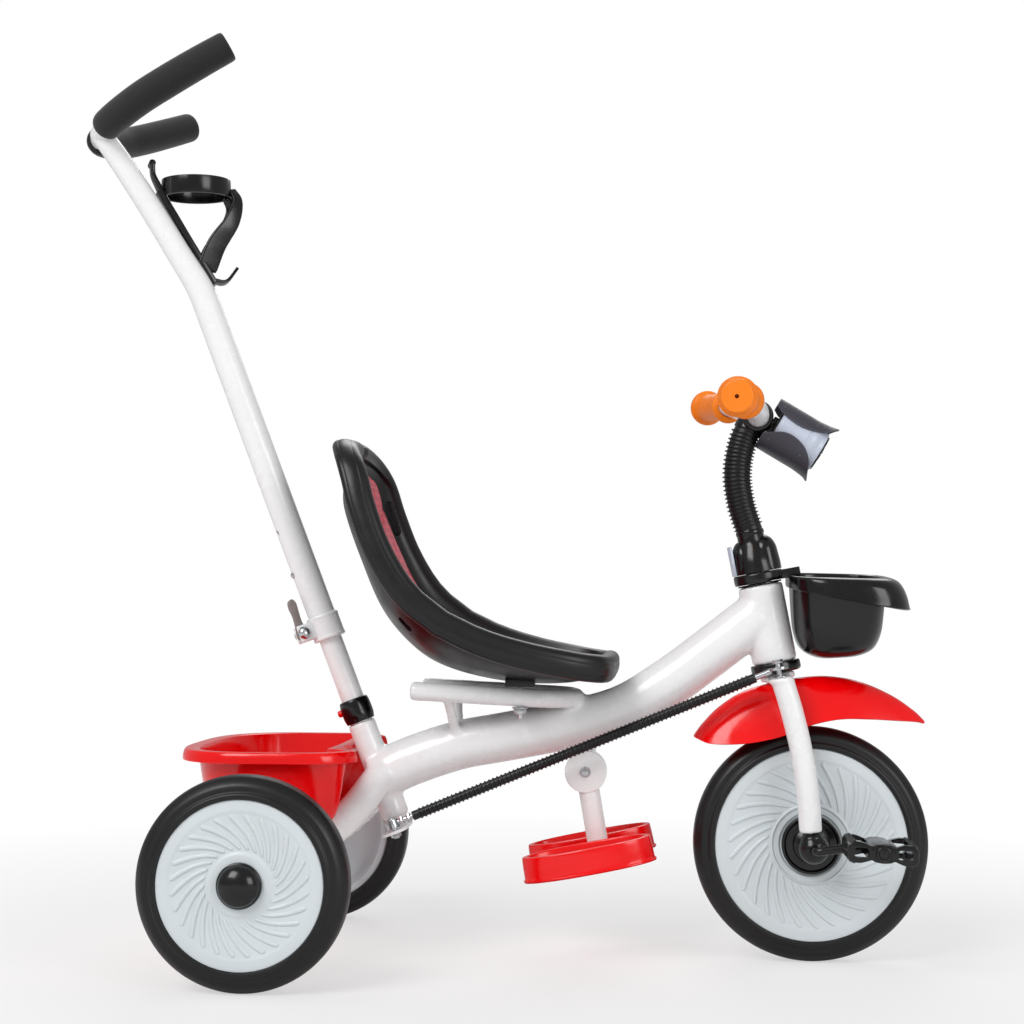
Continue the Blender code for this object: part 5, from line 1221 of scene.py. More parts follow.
def build_stem(sizes):
    steering = PLACES["steering"]
    high = 0.4290
    whole = smooth_path([(0.0, 0.0, 0.3225)] + stem_route(), 3)
    inside = [point for point in whole if point[2] <= high]
    length = sum((Vector(b) - Vector(a)).length for a, b in zip(inside, inside[1:]))
    hose = corrugated(inside, length, 0.0050, sizes.hose_ribs, 0.0132, 0.0155, steering, 40)
    piece("stem_corrugated_hose", hose, "hose", "steering_body", ("stem_hose", "stem_tube"))
    cover = [
        (0.0140, 0.3258, 0.0008), (0.0146, 0.3235, 0.0008), (0.0146, 0.3215, 0.0006),
        (0.0138, 0.3205, 0.0004), (0.0140, 0.3130, 0.0030), (0.0180, 0.3045, 0.0030),
        (0.0212, 0.2945, 0.0040),
        (0.0226, 0.2850, 0.0020), (0.0232, 0.2813, 0.0006), (STEERER_R + GAP, 0.2813),
        (STEERER_R + GAP, 0.3258),
    ]
    dome = [(cos(pi / 2 * i / 8), sin(pi / 2 * i / 8)) for i in range(8, -1, -1)]
    lobes = []
    low = 0.2815
    rise = 0.0190
    for shift, radius, wide, top in ((0.0104, 0.0140, 1.25, 0.3195), (-0.0118, 0.0112, 1.40, 0.3160)):
        profile = [(radius * r, top - rise + rise * z) for r, z in dome]
        profile += [(radius * 1.06, 0.2900), (radius * 1.06, low), (0.0, low)]
        spot = steering @ at(shift, 0.0, 0.0) @ Matrix.Diagonal((1, wide, 1, 1))
        lobes.append(spun(profile, 48, matrix=spot))
    body = gathered(spun(cover, closed=True, matrix=steering), *lobes)
    piece("stem_cover_boss", body, "black", "steering_body", "stem_cover")
    bracket = [(0.0245, BRACKET_TOP, 0.0006), (0.0255, 0.2790, 0.0006), (0.0255, 0.2730, 0.0008),
               (0.0250, 0.2704, 0.0005), (STEERER_R + GAP, 0.2704), (STEERER_R + GAP, BRACKET_TOP)]
    tongue = block((0.020, 0.022, 0.0095), steering @ at(0.0325, 0.0, 0.2750), 0.0010)
    piece("basket_ring", gathered(spun(bracket, closed=True, matrix=steering), tongue), "black",
          "steering_body", "basket_bracket")
    outline = []
    for radius, sign in ((TAB_PIVOT_R, 1), (0.0237, -1)):
        outline += [(-radius * cos(a), radius * sin(a)) for a in
                    [sign * radians(-24 + 4 * i) for i in range(13)]]
    shift = at(TAB_PIVOT_R, 0.0, BRACKET_TOP + GAP + 0.0155 - TAB_PIVOT_Z)
    tab = plate(outline, 0.031, PLACES["tab"] @ shift, 0.0007)
    piece("stem_release_tab", tab, "lamp", "lock_tab_body", "stem_lock_tab")


def aim(start, end, axis="Z"):
    """A frame at start with one of its axes pointing at end."""
    direction = Vector(end) - Vector(start)
    return Matrix.Translation(start) @ direction.to_track_quat(axis, "Y").to_matrix().to_4x4()


def build_handlebar(sizes):
    bar = PLACES["bar"]
    middle = [(0.0, 0.022, 0.0), (-0.0030, 0.045, 0.0060)]
    grip = [(-0.0160, 0.082, 0.0165), (-0.0330, 0.170, 0.0205)]
    half = smooth_path([(0.0, 0.0, 0.0)] + middle + grip[:1], 6) + [grip[1]]
    route = [(x, -y, z) for x, y, z in reversed(half[1:])] + half
    piece("handlebar_tube", tube(route, BAR_R, 40, matrix=bar, hint=(0.0, 0.0, 1.0)), "paint",
          "steering_body", "handlebar")
    bore = BAR_R + 0.0006
    length = GRIP_LENGTH
    for label, side in SIDES:
        end = Vector((grip[1][0], side * grip[1][1], grip[1][2]))
        start = Vector((grip[0][0], side * grip[0][1], grip[0][2]))
        place = bar @ aim(end, end + (end - start))
        waves = []
        for i in range(9):
            z = -0.0130 - 0.0066 * i
            waves += [(0.0139, z), (0.0146, z - 0.0016), (0.0146, z - 0.0040), (0.0139, z - 0.0056)]
        profile = [
            (0.0021, 0.0050), (0.0021, 0.0086), (0.0148, 0.0086, 0.0008), (0.0168, 0.0062, 0.0010),
            (0.0170, 0.0034, 0.0006), (0.0190, 0.0016, 0.0010), (0.0198, -0.0006, 0.0012),
            (0.0194, -0.0036, 0.0014), (0.0142, -0.0086, 0.0030), *waves,
            (0.0140, 0.0100 - length, 0.0020), (0.0180, 0.0062 - length, 0.0012),
            (0.0187, 0.0030 - length, 0.0012), (0.0180, 0.0004 - length, 0.0010),
            (0.0165, -length, 0.0006), (bore, -length), (bore, 0.0004), (0.0, 0.0004), (0.0, 0.0050),
        ]
        piece(f"handlebar_grip_{label}", spun(profile, matrix=place), "grip", "steering_body",
              f"grip_{label}")


def build_bar_clamp(sizes):
    """The black clamp: a barrel round the bar, a ferrule over the stem's end and two lamp ears."""
    steering = PLACES["steering"]
    pivot = Vector(LAMP_PIVOT)
    barrel = [(BAR_R + 0.0006, 0.0190), (0.0150, 0.0190, 0.0008), (0.0163, 0.0170, 0.0008),
              (0.0163, -0.0170, 0.0008), (0.0150, -0.0190, 0.0008), (BAR_R + 0.0006, -0.0190)]
    parts = [spun(barrel, closed=True, matrix=PLACES["bar"] @ ACROSS)]
    parts.append(tube(stem_route()[-6:], 0.0150, 40, matrix=steering, rounded=0.0010))
    saddle = steering @ at(pivot.x - 0.006, 0.0, pivot.z - 0.001)
    parts.append(block((0.0200, 0.0260, 0.0100), saddle @ turn(radians(-20), "Y"), 0.0030, 4))
    for _, side in SIDES:
        ear = side * 0.0096
        eye = steering @ at(pivot.x, ear, pivot.z) @ ACROSS
        parts.append(rod(0.0046, -0.0025, 0.0025, eye, 0.0006, 32))
        root = steering @ at(pivot.x - 0.008, ear, pivot.z + 0.001)
        parts.append(block((0.016, 0.005, 0.010), root, 0.0010))
    piece("handlebar_clamp", gathered(*parts), "black", "steering_body", "bar_clamp")
    lamp = PLACES["lamp"]
    knuckle = gathered(rod(0.0042, -0.0066, 0.0066, lamp @ ACROSS, 0.0005, 32),
                       block((0.0180, 0.0120, 0.0060), lamp @ at(0.0, 0.0, 0.0030), 0.0012),
                       rod(0.0200, LAMP_BACK - 0.0022, LAMP_BACK - GAP, lamp, 0.0006))
    piece("lamp_knuckle", knuckle, "black", "lamp_body_tilt", "lamp_bracket")


def build_lamp(sizes):
    lamp = PLACES["lamp"]
    front = LAMP_BACK + LAMP_LENGTH
    shell = [
        (0.0, LAMP_BACK + 0.0020), (LAMP_R - 0.0040, LAMP_BACK + 0.0030),
        (LAMP_R - 0.0030, front - 0.0120, 0.0010), (0.0160, front - 0.0060), (0.0160, front + 0.0010),
        (0.0212, front + 0.0010, 0.0006), (0.0225, front - 0.0040, 0.0010),
        (LAMP_R, front - 0.0100, 0.0020), (LAMP_R, front - 0.0155), (LAMP_R - 0.0005, front - 0.0160),
        (LAMP_R - 0.0005, front - 0.0170), (LAMP_R, front - 0.0175), (LAMP_R, LAMP_BACK + 0.0030, 0.0015),
        (LAMP_R - 0.0020, LAMP_BACK, 0.0010), (0.0, LAMP_BACK),
    ]
    piece("lamp_shell_drum", spun(shell, matrix=lamp), "lamp", "lamp_body_tilt", "lamp_body")
    bezel = [(0.0158, front - 0.0020), (0.0158, front + 0.0030, 0.0004), (0.0186, front + 0.0030, 0.0008),
             (0.0194, front + 0.0012, 0.0004), (0.0194, front - 0.0020)]
    piece("lamp_bezel", spun(bezel, closed=True, matrix=lamp), "black", "lamp_body_tilt")
    dish = [(0.0, front - 0.0150), (0.0050, front - 0.0146), (0.0100, front - 0.0115),
            (0.0140, front - 0.0060), (0.0154, front - 0.0020), (0.0156, front - 0.0020),
            (0.0156, front - 0.0160), (0.0, front - 0.0160)]
    piece("lamp_reflector", spun(dish, matrix=lamp), "zinc", "lamp_body_tilt")
    lens = smooth_path([(0.0, front + 0.0045), (0.0080, front + 0.0036), (0.0130, front + 0.0016),
                        (0.0152, front + 0.0002)], 4)
    lens += [(0.0152, front - 0.0015), (0.0, front - 0.0006)]
    piece("lamp_lens_cap", spun(lens, matrix=lamp), "lens", "lamp_body_tilt", "lamp_lens")
    upper = [(-0.004, 50.0, 0.0), (0.004, 60.0, 0.0), (0.018, 66.0, 0.0), (0.030, 66.0, 0.0),
             (0.042, 59.0, 0.0), (0.053, 48.0, 0.0010), (0.059, 28.0, 0.0020), (0.064, 4.0, 0.0030)]
    lower = [(-0.002, 60.0, 0.0), (0.006, 72.0, 0.0), (0.018, 85.0, 0.0), (0.030, 86.0, 0.0),
             (0.042, 78.0, 0.0), (0.053, 58.0, 0.0010), (0.058, 32.0, 0.0020), (0.062, 5.0, 0.0040)]
    for label, centre, rows in (("upper", pi, upper), ("lower", 0.0, lower)):
        def form(u, v):
            height, spread, flare = sample(rows, u)
            angle = centre + radians(spread) * (2 * v - 1)
            radius = LAMP_R + 0.0011 + flare
            return Vector((radius * cos(angle), radius * sin(angle), height))

        leaf = shaped(form, 48, 48, lamp)
        bmesh.ops.reverse_faces(leaf, faces=leaf.faces)
        leaf = walled(leaf, 0.0014, 1.0)
        dots = []
        stud = [(0.0, 0.0008), (0.0010, 0.0006), (0.0015, 0.0), (0.0015, -0.0006), (0.0, -0.0006)]
        for share in (-0.72, 0.72):
            for height, spread, _ in (rows[1], rows[4]):
                angle = centre + radians(spread) * share
                spot = lamp @ at(0.0, 0.0, height) @ turn(angle, "Z") @ at(LAMP_R + 0.0024, 0.0, 0.0)
                dots.append(spun(stud, 16, matrix=spot @ turn(pi / 2, "Y")))
        piece(f"lamp_leaf_{label}", gathered(leaf, *dots), "leaf", "lamp_body_tilt",
              f"lamp_cover_{label}")


# Footrest

def build_footrest(sizes):
    world = PLACES["world"]
    foot = PLACES["footrest"]
    outline = [(-0.021, 0.0380), (0.0085, 0.0420), (0.0120, 0.0)]
    outline += [(0.012 * cos(a), 0.012 * sin(a)) for a in [-pi * i / 12 for i in range(1, 12)]]
    outline += [(-0.0120, 0.0)]
    ears = plate(outline, 0.0060, foot @ ACROSS, 0.0006)
    cut = tube(smooth_path(MAIN_LINE[3:7], 6), MAIN_TUBE_R - 0.0004, 32, matrix=world)
    piece("footrest_lug", carved(ears, cut), "paint", "frame_body", "footrest_bracket")
    lean = foot @ turn(-FOOT_POST_TILT, "Y")
    across = foot @ ACROSS
    post = rod(0.0108, -0.0800, -0.0100, lean, 0.0006)
    discs = []
    for _, side in SIDES:
        low, high = (0.0035, 0.0120) if side > 0 else (-0.0120, -0.0035)
        discs.append(spun([(0.0, high), (0.0215, high, 0.0012), (0.0215, low, 0.0008), (0.0, low)],
                          ROUND, matrix=across))
    whole = gathered(post, *discs)
    whole = carved(whole, block((0.070, 0.0068, 0.070), foot @ at(0.0, 0.0, 0.0165), 0.0002, 1))
    piece("footrest_post", whole, "paint", "footrest_body", "footrest_arm")
    face = 0.0123
    bolt = gathered(rod(0.0030, -face - 0.0042, face + 0.0032, across, 0.0004, 24),
                    spun([(0.0, face + 0.0040), (0.0034, face + 0.0034), (0.0054, face + 0.0012),
                          (0.0056, face), (0.0, face)], 32, matrix=across),
                    hexagon(0.0055, -face - 0.0037, -face, across))
    piece("footrest_pivot_bolt", bolt, "zinc", "footrest_body", "footrest_bolt")
    build_foot_trays(foot, lean)


def build_foot_trays(foot, lean):
    rings = [
        # back x, front x, half width, height at the back, height at the front
        (-0.0690, 0.0670, 0.0316, 0.0000, 0.0000), (-0.0688, 0.0668, 0.0314, 0.0010, 0.0010),
        (-0.0676, 0.0656, 0.0306, 0.0022, 0.0022), (-0.0672, 0.0652, 0.0302, 0.0130, 0.0130),
        (-0.0666, 0.0646, 0.0298, 0.0225, 0.0225), (-0.0655, 0.0635, 0.0290, 0.0240, 0.0240),
        (-0.0625, 0.0605, 0.0264, 0.0242, 0.0242), (-0.0608, 0.0588, 0.0248, 0.0232, 0.0232),
        (-0.0590, 0.0570, 0.0234, 0.0150, 0.0150), (-0.0570, 0.0550, 0.0218, 0.0060, 0.0060),
        (-0.0530, 0.0510, 0.0185, 0.0032, 0.0032), (-0.0300, 0.0300, 0.0090, 0.0022, 0.0022),
        (0.0, 0.0, 0.0, 0.0020, 0.0020),
    ]

    def form(u, v):
        return ring_point(*sample(rings, u), 2 * pi * v, 0.90)

    spot = foot @ at(0.0070, 0.0, -0.0940) @ turn(-FOOT_PITCH, "Y")
    parts = []
    for _, side in SIDES:
        tray = settled(shaped(form, 60, 80, spot @ at(0.0, side * 0.0480, 0.0)))
        parts.append(walled(tray, 0.0020))
    parts.append(carved(block((0.0420, 0.0440, 0.0180), spot @ at(0.0060, 0.0, 0.0090), 0.0030, 4),
                        rod(0.0111, -0.0803, -0.0300, lean)))
    piece("foot_tray_pair", gathered(*parts), "red", "footrest_body", "foot_trays")


# Push rod

def build_push_rod(sizes):
    place = PLACES["rod"]
    lever_turn = turn(-HANDLE_TURN, "Z")
    lower = gathered(
        rod(LOWER_ROD_R, -0.0020, 0.3350, place, 0.0006),
        plate(slab(0.0135, 0.0340, 0.0130), 0.003, place @ lever_turn @ at(0.0, -0.0190, -0.0015),
              0.0008))
    piece("inner_rod_and_lever", lower, "paint", "push_rod_body", "lower_rod")
    pivot = place @ lever_turn @ at(0.0, -LINK_ARM, 0.0)
    studs = gathered(rod(0.0030, -0.0085, 0.0125, pivot, 0.0004, 24),
                     hexagon(0.0055, -0.0070, -0.0030, pivot))
    piece("lever_stud", studs, "zinc", "push_rod_body")
    straight = [(0.0, 0.0, UPPER_ROD_LOW), (0.0, 0.0, 0.4000), (0.0, 0.0, 0.5400), (0.0, 0.0, 0.5700)]
    bend = [(0.0, 0.0, 0.5950), (-0.0020, 0.0, 0.6150), (-0.0095, 0.0, 0.6500), (-0.0220, 0.0, 0.7100),
            (-0.0350, 0.0, 0.7650), (-0.0440, 0.0, 0.7950)]
    ratios = [1.0] * 5 + [0.97, 0.90, 0.86, 0.83, 0.77]
    dense = smooth_path([(*point, ratio) for point, ratio in zip(straight + bend, ratios)], 6)
    upper = tube([p[:3] for p in dense], UPPER_ROD_R, 48, [p[3] for p in dense], place)
    holes = [place @ at(-UPPER_ROD_R, 0.0, height) @ turn(pi / 2, "Y")
             for height in (BUTTON_HEIGHT, BUTTON_HEIGHT + HOLE_PITCH)]
    upper = carved(upper, rod(0.0130, UPPER_ROD_LOW - 0.02, 0.5600, place),
                   *[rod(0.0036, -0.008, 0.008, hole, sides=32) for hole in holes])
    routes = {side: smooth_path([(-0.0450, 0.0, 0.7970), (-0.0370, side * 0.0280, 0.7985),
                                 (-0.0100, side * 0.0580, 0.8036), (0.0200, side * 0.0760, 0.8093),
                                 (0.0540, side * 0.0915, 0.8158), (0.0877, side * 0.1045, 0.8220)], 8)
              for _, side in SIDES}
    handle = tube(routes[-1][-4:0:-1] + routes[1][:-4], 0.011, 32, matrix=place, hint=(0.0, 0.0, 1.0))
    piece("outer_rod_and_handle", gathered(upper, handle), "paint", "upper_rod_body", "upper_rod")
    for label, side in SIDES:
        path = routes[side][5:]
        scales = []
        for i in range(len(path)):
            share = i / (len(path) - 1)
            width = 1.0 + 0.05 * sin(pi * share)
            if i == 0 or i == len(path) - 1:
                width *= 0.96
            scales.append((width, width))
        foam = swept(path, ring(sizes.foam_radius, 40), scales, (0.0, 0.0, 1.0), place, 0.0020)
        past_end = Vector(path[-1]) * 2 - Vector(path[-2])
        foam = carved(foam, tube(routes[side][2:] + [past_end], 0.0113, 32, matrix=place,
                                 hint=(0.0, 0.0, 1.0)))
        piece(f"foam_handle_{label}", foam, "foam", "upper_rod_body", f"handle_foam_{label}")
    cap = [(0.0, 0.0022), (0.0018, 0.0020), (0.0030, 0.0008), (0.0032, -0.0014), (0.0, -0.0014)]
    spot = place @ at(-UPPER_ROD_R, 0.0, BUTTON_HEIGHT) @ turn(-pi / 2, "Y")
    piece("rod_spring_button", spun(cap, 32, matrix=spot), "zinc", "rod_button_body", "rod_button")
    build_rod_clamp(place)


def build_rod_clamp(place):
    low, high = 0.2085, 0.2345
    band = [(0.0166, high, 0.0006), (0.0174, high - 0.0022, 0.0008), (0.0168, high - 0.0036, 0.0008),
            (0.0168, low + 0.0036, 0.0008), (0.0174, low + 0.0022, 0.0008), (0.0166, low, 0.0006),
            (0.0124, low), (0.0124, UPPER_ROD_LOW - GAP),
            (UPPER_ROD_R + 0.0006, UPPER_ROD_LOW - GAP), (UPPER_ROD_R + 0.0006, high)]
    parts = [spun(band, closed=True, matrix=place)]
    for _, side in SIDES:
        ear = place @ at(CLAMP_PIVOT[0] + 0.0035, side * 0.0065, CLAMP_PIVOT[2])
        parts.append(block((0.0190, 0.0040, 0.0180), ear, 0.0018))
    piece("rod_clamp_band", gathered(*parts), "paint", "upper_rod_body", "rod_clamp")
    across = place @ at(*CLAMP_PIVOT) @ ACROSS
    face = 0.0088
    dome = smooth_path([(0.0, face + 0.0052), (0.0030, face + 0.0048), (0.0056, face + 0.0030),
                        (0.0068, face + 0.0006)], 4)
    bolt = dome + [(0.0068, face), (0.0027, face), (0.0027, -face), (0.0060, -face, 0.0004),
                   (0.0060, -face - 0.0032, 0.0008), (0.0, -face - 0.0032)]
    piece("clamp_domed_bolt", spun(bolt, 40, matrix=across), "zinc", "upper_rod_body", "clamp_bolt")
    outline = smooth_path([(-0.0056, -0.0046), (0.0, -0.0062), (0.0045, -0.0042), (0.0054, 0.0020),
                           (0.0030, 0.0120), (0.0036, 0.0250), (0.0040, 0.0330), (0.0010, 0.0380),
                           (-0.0032, 0.0360), (-0.0044, 0.0290), (-0.0036, 0.0200), (-0.0046, 0.0090),
                           (-0.0062, 0.0), (-0.0056, -0.0046)], 5)[:-1]
    flat = PLACES["clamp_lever"] @ ACROSS
    lever = carved(plate(outline, 0.0084, flat, 0.0012), rod(0.0031, -0.02, 0.02, flat, sides=32))
    piece("clamp_quick_lever", lever, "lever", "clamp_lever_body", "clamp_lever")


def strip(points, half_width, half_thick, place, hint, widths):
    """A flat moulded strip with rounded edges, as wide at each point as its share says."""
    scales = [(1.0, share) for (share,) in smooth_path([(width,) for width in widths], 6)]
    section = slab(half_thick, half_width, min(half_thick, half_width) * 0.7, 4)
    return swept(smooth_path(points, 6), section, scales, hint, place, half_thick * 0.4)


def build_bottle_cage(sizes):
    """A moulded holder: back strip with a hook, a tilted band, broad struts and a bottom tongue."""
    place = PLACES["cage"]
    front = 0.0060
    radius = 0.0368
    parts = [block((0.0060, 0.0170, 0.1180), place @ at(front - 0.0030, 0.0, 0.0550), 0.0016)]
    band = (place @ at(front + radius - 0.0015, 0.0, 0.0985) @ turn(radians(13), "X")
            @ turn(radians(27), "Y"))
    profile = [(radius, 0.0095, 0.0008), (radius + 0.0004, 0.0, 0.0020), (radius, -0.0095, 0.0008),
               (radius - 0.0030, -0.0095, 0.0006), (radius - 0.0030, 0.0095, 0.0006)]
    parts.append(spun(profile, 72, closed=True, matrix=band))
    hook = [(front - 0.002, 0.0, 0.104), (front - 0.0004, 0.0, 0.122), (front + 0.0010, 0.0, 0.132),
            (front + 0.0060, 0.0, 0.1420)]
    parts.append(strip(hook, 0.0064, 0.0024, place, (1.0, 0.0, 0.0), [1.3, 1.0, 0.8, 1.0]))
    bead = place @ at(front + 0.0060, 0.0, 0.1430) @ ACROSS
    parts.append(rod(0.0036, -0.0062, 0.0062, bead, 0.0010, 24))
    for _, side in SIDES:
        strut = [(front + 0.0650, side * 0.0110, 0.0790), (front + 0.0630, side * 0.0150, 0.0640),
                 (front + 0.0460, side * 0.0150, 0.0470), (front + 0.0200, side * 0.0100, 0.0330),
                 (front - 0.0010, side * 0.0040, 0.0160)]
        parts.append(strip(strut, 0.0066, 0.0024, place, (0.4, side * 1.0, 0.0),
                           [0.8, 0.9, 1.3, 1.6, 1.7]))
    for height in (0.004, 0.018):
        screw = place @ at(front + 0.0004, 0.0, height) @ turn(pi / 2, "Y")
        parts.append(rod(0.0028, -0.0012, 0.0012, screw, 0.0006, 20))
    parts.append(strip([(front - 0.0020, 0.0, 0.0010), (front + 0.0100, 0.0, -0.0062),
                        (front + 0.0295, 0.0, 0.0018)], 0.0062, 0.0016, place, (0.0, 0.0, 1.0),
                       [1.1, 1.0, 0.5]))
    piece("moulded_bottle_cage", gathered(*parts), "black", "upper_rod_body", "bottle_cage")


# Steering link

def eyelet(bore, radius, half, rounded, matrix):
    """A flat ring about Z with softened outer edges."""
    profile = [(bore, half), (radius, half, rounded), (radius, -half, rounded), (bore, -half)]
    return spun(profile, 40, closed=True, matrix=matrix)


def build_link(sizes):
    rear = PLACES["link"] @ Vector((0.0, 0.0, 0.0065))
    front = PLACES["steering"] @ Vector((0.0, -LINK_ARM, LINK_EYE))
    place = aim(rear, front)
    length = (front - rear).length
    eye = PLACES["steering"] @ at(0.0, -LINK_ARM, LINK_EYE)
    parts = [rod(0.0030, 0.0, length - 0.008, place, 0.0, 24)]
    parts.append(eyelet(0.0034, 0.0070, 0.0050, 0.0006, PLACES["link"] @ at(0.0, 0.0, 0.0065)))
    parts.append(eyelet(0.0068, 0.0100, 0.0015, 0.0004, eye))
    parts += [hexagon(0.0055, z, z + 0.004, place) for z in (0.0085, 0.0165)]
    piece("link_rod_with_nuts", gathered(*parts), "zinc", "link_body", "link_rod")
    low, high = 0.0230, length - 0.0250
    path = [(0.0, 0.0, low), (0.0, 0.0, high)]
    sleeve = corrugated(path, high - low, 0.0060, sizes.sleeve_ribs, 0.0047, 0.0058, place, 20)
    piece("link_corrugated_sleeve", sleeve, "hose", "link_body", "link_sleeve")


# Stage

def build_floor(sizes):
    material, tree = blank("pale_studio_floor")
    place = add(tree, "TexCoord").outputs["Object"]
    normal = bumped(tree, noise(tree, place, 3.0, 3.0), 0.05, 0.0001)
    matt = add(tree, "BsdfDiffuse", {"Color": (0.84, 0.84, 0.84, 1.0), "Normal": normal})
    white = add(tree, "Emission", {"Color": (1.0, 1.0, 1.0, 1.0), "Strength": 1.0})
    seen = add(tree, "LightPath").outputs["Is Camera Ray"]
    far = add(tree, "VectorMath", {0: place}, operation="LENGTH").outputs["Value"]
    share = add(tree, "Math", {0: ramp(tree, far, 0.55, 1.25, 0.55), 1: seen}, operation="MULTIPLY")
    both = add(tree, "MixShader", {0: share.outputs[0], 1: matt.outputs["BSDF"], 2: white.outputs[0]})
    add(tree, "OutputMaterial", {"Surface": both.outputs[0]})
    builder = bmesh.new()
    bmesh.ops.create_grid(builder, x_segments=8, y_segments=8, size=sizes.floor_half)
    bmesh.ops.translate(builder, verts=builder.verts, vec=(0.0, 0.0, -0.0002))
    floor = as_object(builder, "studio_floor")
    floor.data.materials.append(material)


def build_world():
    world = bpy.data.worlds.new("white_room")
    bpy.context.scene.world = world
    world.use_nodes = True
    tree = world.node_tree
    tree.nodes.clear()
    path = add(tree, "LightPath")
    seen = add(tree, "Math", {0: path.outputs["Is Camera Ray"], 1: path.outputs["Is Transmission Ray"]},
               operation="MAXIMUM")
    strength = add(tree, "MapRange", {"Value": seen.outputs[0], "To Min": 0.42, "To Max": 1.0})
    light = add(tree, "Background", {"Color": (1.0, 1.0, 1.0, 1.0), "Strength": strength.outputs["Result"]})
    add(tree, "OutputWorld", {"Surface": light.outputs["Background"]})


# Each lamp's name, place, width in metres and power in watts
LAMPS = (("key_softbox", (-2.8, -4.0, 4.2), 3.0, 190.0), ("fill_softbox", (3.8, -3.8, 2.0), 2.4, 80.0),
         ("back_softbox", (0.4, 3.8, 3.6), 3.0, 70.0))
LAMPS_AIM = (0.0, 0.0, 0.35)
# The photograph's camera, solved from the sizes that such tricycles share: place, yaw, pitch and roll
CAMERA_PLACE = (0.158137, -1.844385, 0.360877)
CAMERA_TURNS = (-0.0760594, 0.0526352, 0.00271)
CAMERA_LENS = 62.195
CAMERA_SENSOR = 36.0


def build_lamps():
    for name, place, size, power in LAMPS:
        lamp = bpy.data.lights.new(name, "AREA")
        lamp.shape = "SQUARE"
        lamp.size = size
        lamp.energy = power
        in_scene(name, lamp).matrix_world = aim(place, LAMPS_AIM, "-Z")


def build_camera():
    """The photograph's view: from the right side, slightly ahead, just above the wheels."""
    yaw, pitch, roll = CAMERA_TURNS
    forward = Vector((sin(yaw) * cos(pitch), cos(yaw) * cos(pitch), sin(pitch)))
    level = Vector((cos(yaw), -sin(yaw), 0.0))
    upright = level.cross(forward)
    right = level * cos(roll) + upright * sin(roll)
    up = upright * cos(roll) - level * sin(roll)
    data = bpy.data.cameras.new("photo_camera")
    data.lens = CAMERA_LENS
    data.sensor_width = CAMERA_SENSOR
    camera = in_scene("photo_camera", data)
    camera.matrix_world = (Matrix.Translation(CAMERA_PLACE)
                           @ Matrix((right, up, -forward)).transposed().to_4x4())
    bpy.context.scene.camera = camera


# Add-on

class TricycleSizes(bpy.types.PropertyGroup):
    rib_height: bpy.props.FloatProperty(name="Rib height", description="Height of the wheel discs' ribs",
                                        default=0.0017, subtype="DISTANCE")
    rib_width: bpy.props.FloatProperty(name="Rib half width", description="Half the width of a disc's rib",
                                       default=0.0027, subtype="DISTANCE")
    hose_ribs: bpy.props.IntProperty(name="Stem hose ribs", description="Ribs round the stem hose",
                                     default=25)
    sleeve_ribs: bpy.props.IntProperty(name="Link sleeve ribs", description="Ribs round the link's sleeve",
                                       default=80)
    pad_thickness: bpy.props.FloatProperty(name="Pad thickness",
                                           description="Height of the seat liner's crown",
                                           default=0.0240, subtype="DISTANCE")
    foam_radius: bpy.props.FloatProperty(name="Foam radius", description="Outer radius of the handle foam",
                                         default=0.0160, subtype="DISTANCE")
    floor_half: bpy.props.FloatProperty(name="Floor half size", description="Half the width of the floor",
                                        default=12.0, subtype="DISTANCE")


def colour(name, description, code):
    return bpy.props.FloatVectorProperty(name=name, description=description, default=linear(code),
                                         subtype="COLOR", size=3, min=0.0, max=1.0)


class TricycleColours(bpy.types.PropertyGroup):
    paint: colour("Tube paint", "Powder coat on the steel tubes", "#F4F4F5")
    zinc: colour("Zinc", "Plated bolts, nuts and rods", "#C9CBCE")
    red: colour("Red plastic", "Basket, mudguard and foot trays", "#F60004")
    gloss_black: colour("Gloss black", "Front basket, clamps, cage and pedals", "#0B0B0D")
    seat_black: colour("Seat black", "Seat shell", "#08070B")
    tyre: colour("Tyre", "Foam tyres", "#070609")
    foam: colour("Handle foam", "Foam on the push handle", "#0F0F10")
    disc: colour("Wheel disc", "Wheel discs", "#D5DCDF")
    grip: colour("Grip", "Handlebar grips", "#FF8400")
    pad: colour("Seat liner", "Woven seat liner", "#D23A50")
    lamp: colour("Lamp shell", "Lamp drum and stem tab", "#C3CBDB")
    leaf: colour("Lamp leaves", "Covers on the lamp", "#3A3943")
    lever: colour("Clamp lever", "Quick lever on the push rod", "#8A7F7C")
    lens: colour("Lens", "Lamp lens", "#F2F6F8")


class TricycleMaker:
    """What each of the tricycle's operators shares: it runs its steps with the scene's sizes."""
    bl_options = {"REGISTER"}
    steps = ()

    def execute(self, context):
        for step in self.steps:
            step(context.scene.tricycle_sizes)
        return {"FINISHED"}


class TRICYCLE_OT_frame(TricycleMaker, bpy.types.Operator):
    """Weld the frame and fit its axle, head cups, collar and seat bolts"""
    bl_idname = "tricycle.frame"
    bl_label = "Frame"
    steps = (build_frame,)


class TRICYCLE_OT_wheels(TricycleMaker, bpy.types.Operator):
    """Make the tyres, swirl discs, hubs and the cranked axle"""
    bl_idname = "tricycle.wheels"
    bl_label = "Wheels"
    steps = (build_rear_wheels, build_front_wheel)


class TRICYCLE_OT_pedals(TricycleMaker, bpy.types.Operator):
    """Make the two pedals"""
    bl_idname = "tricycle.pedals"
    bl_label = "Pedals"
    steps = (build_pedals,)


class TRICYCLE_OT_seat(TricycleMaker, bpy.types.Operator):
    """Make the bucket seat and its padded liner"""
    bl_idname = "tricycle.seat"
    bl_label = "Seat"
    steps = (build_seat, build_cushion)


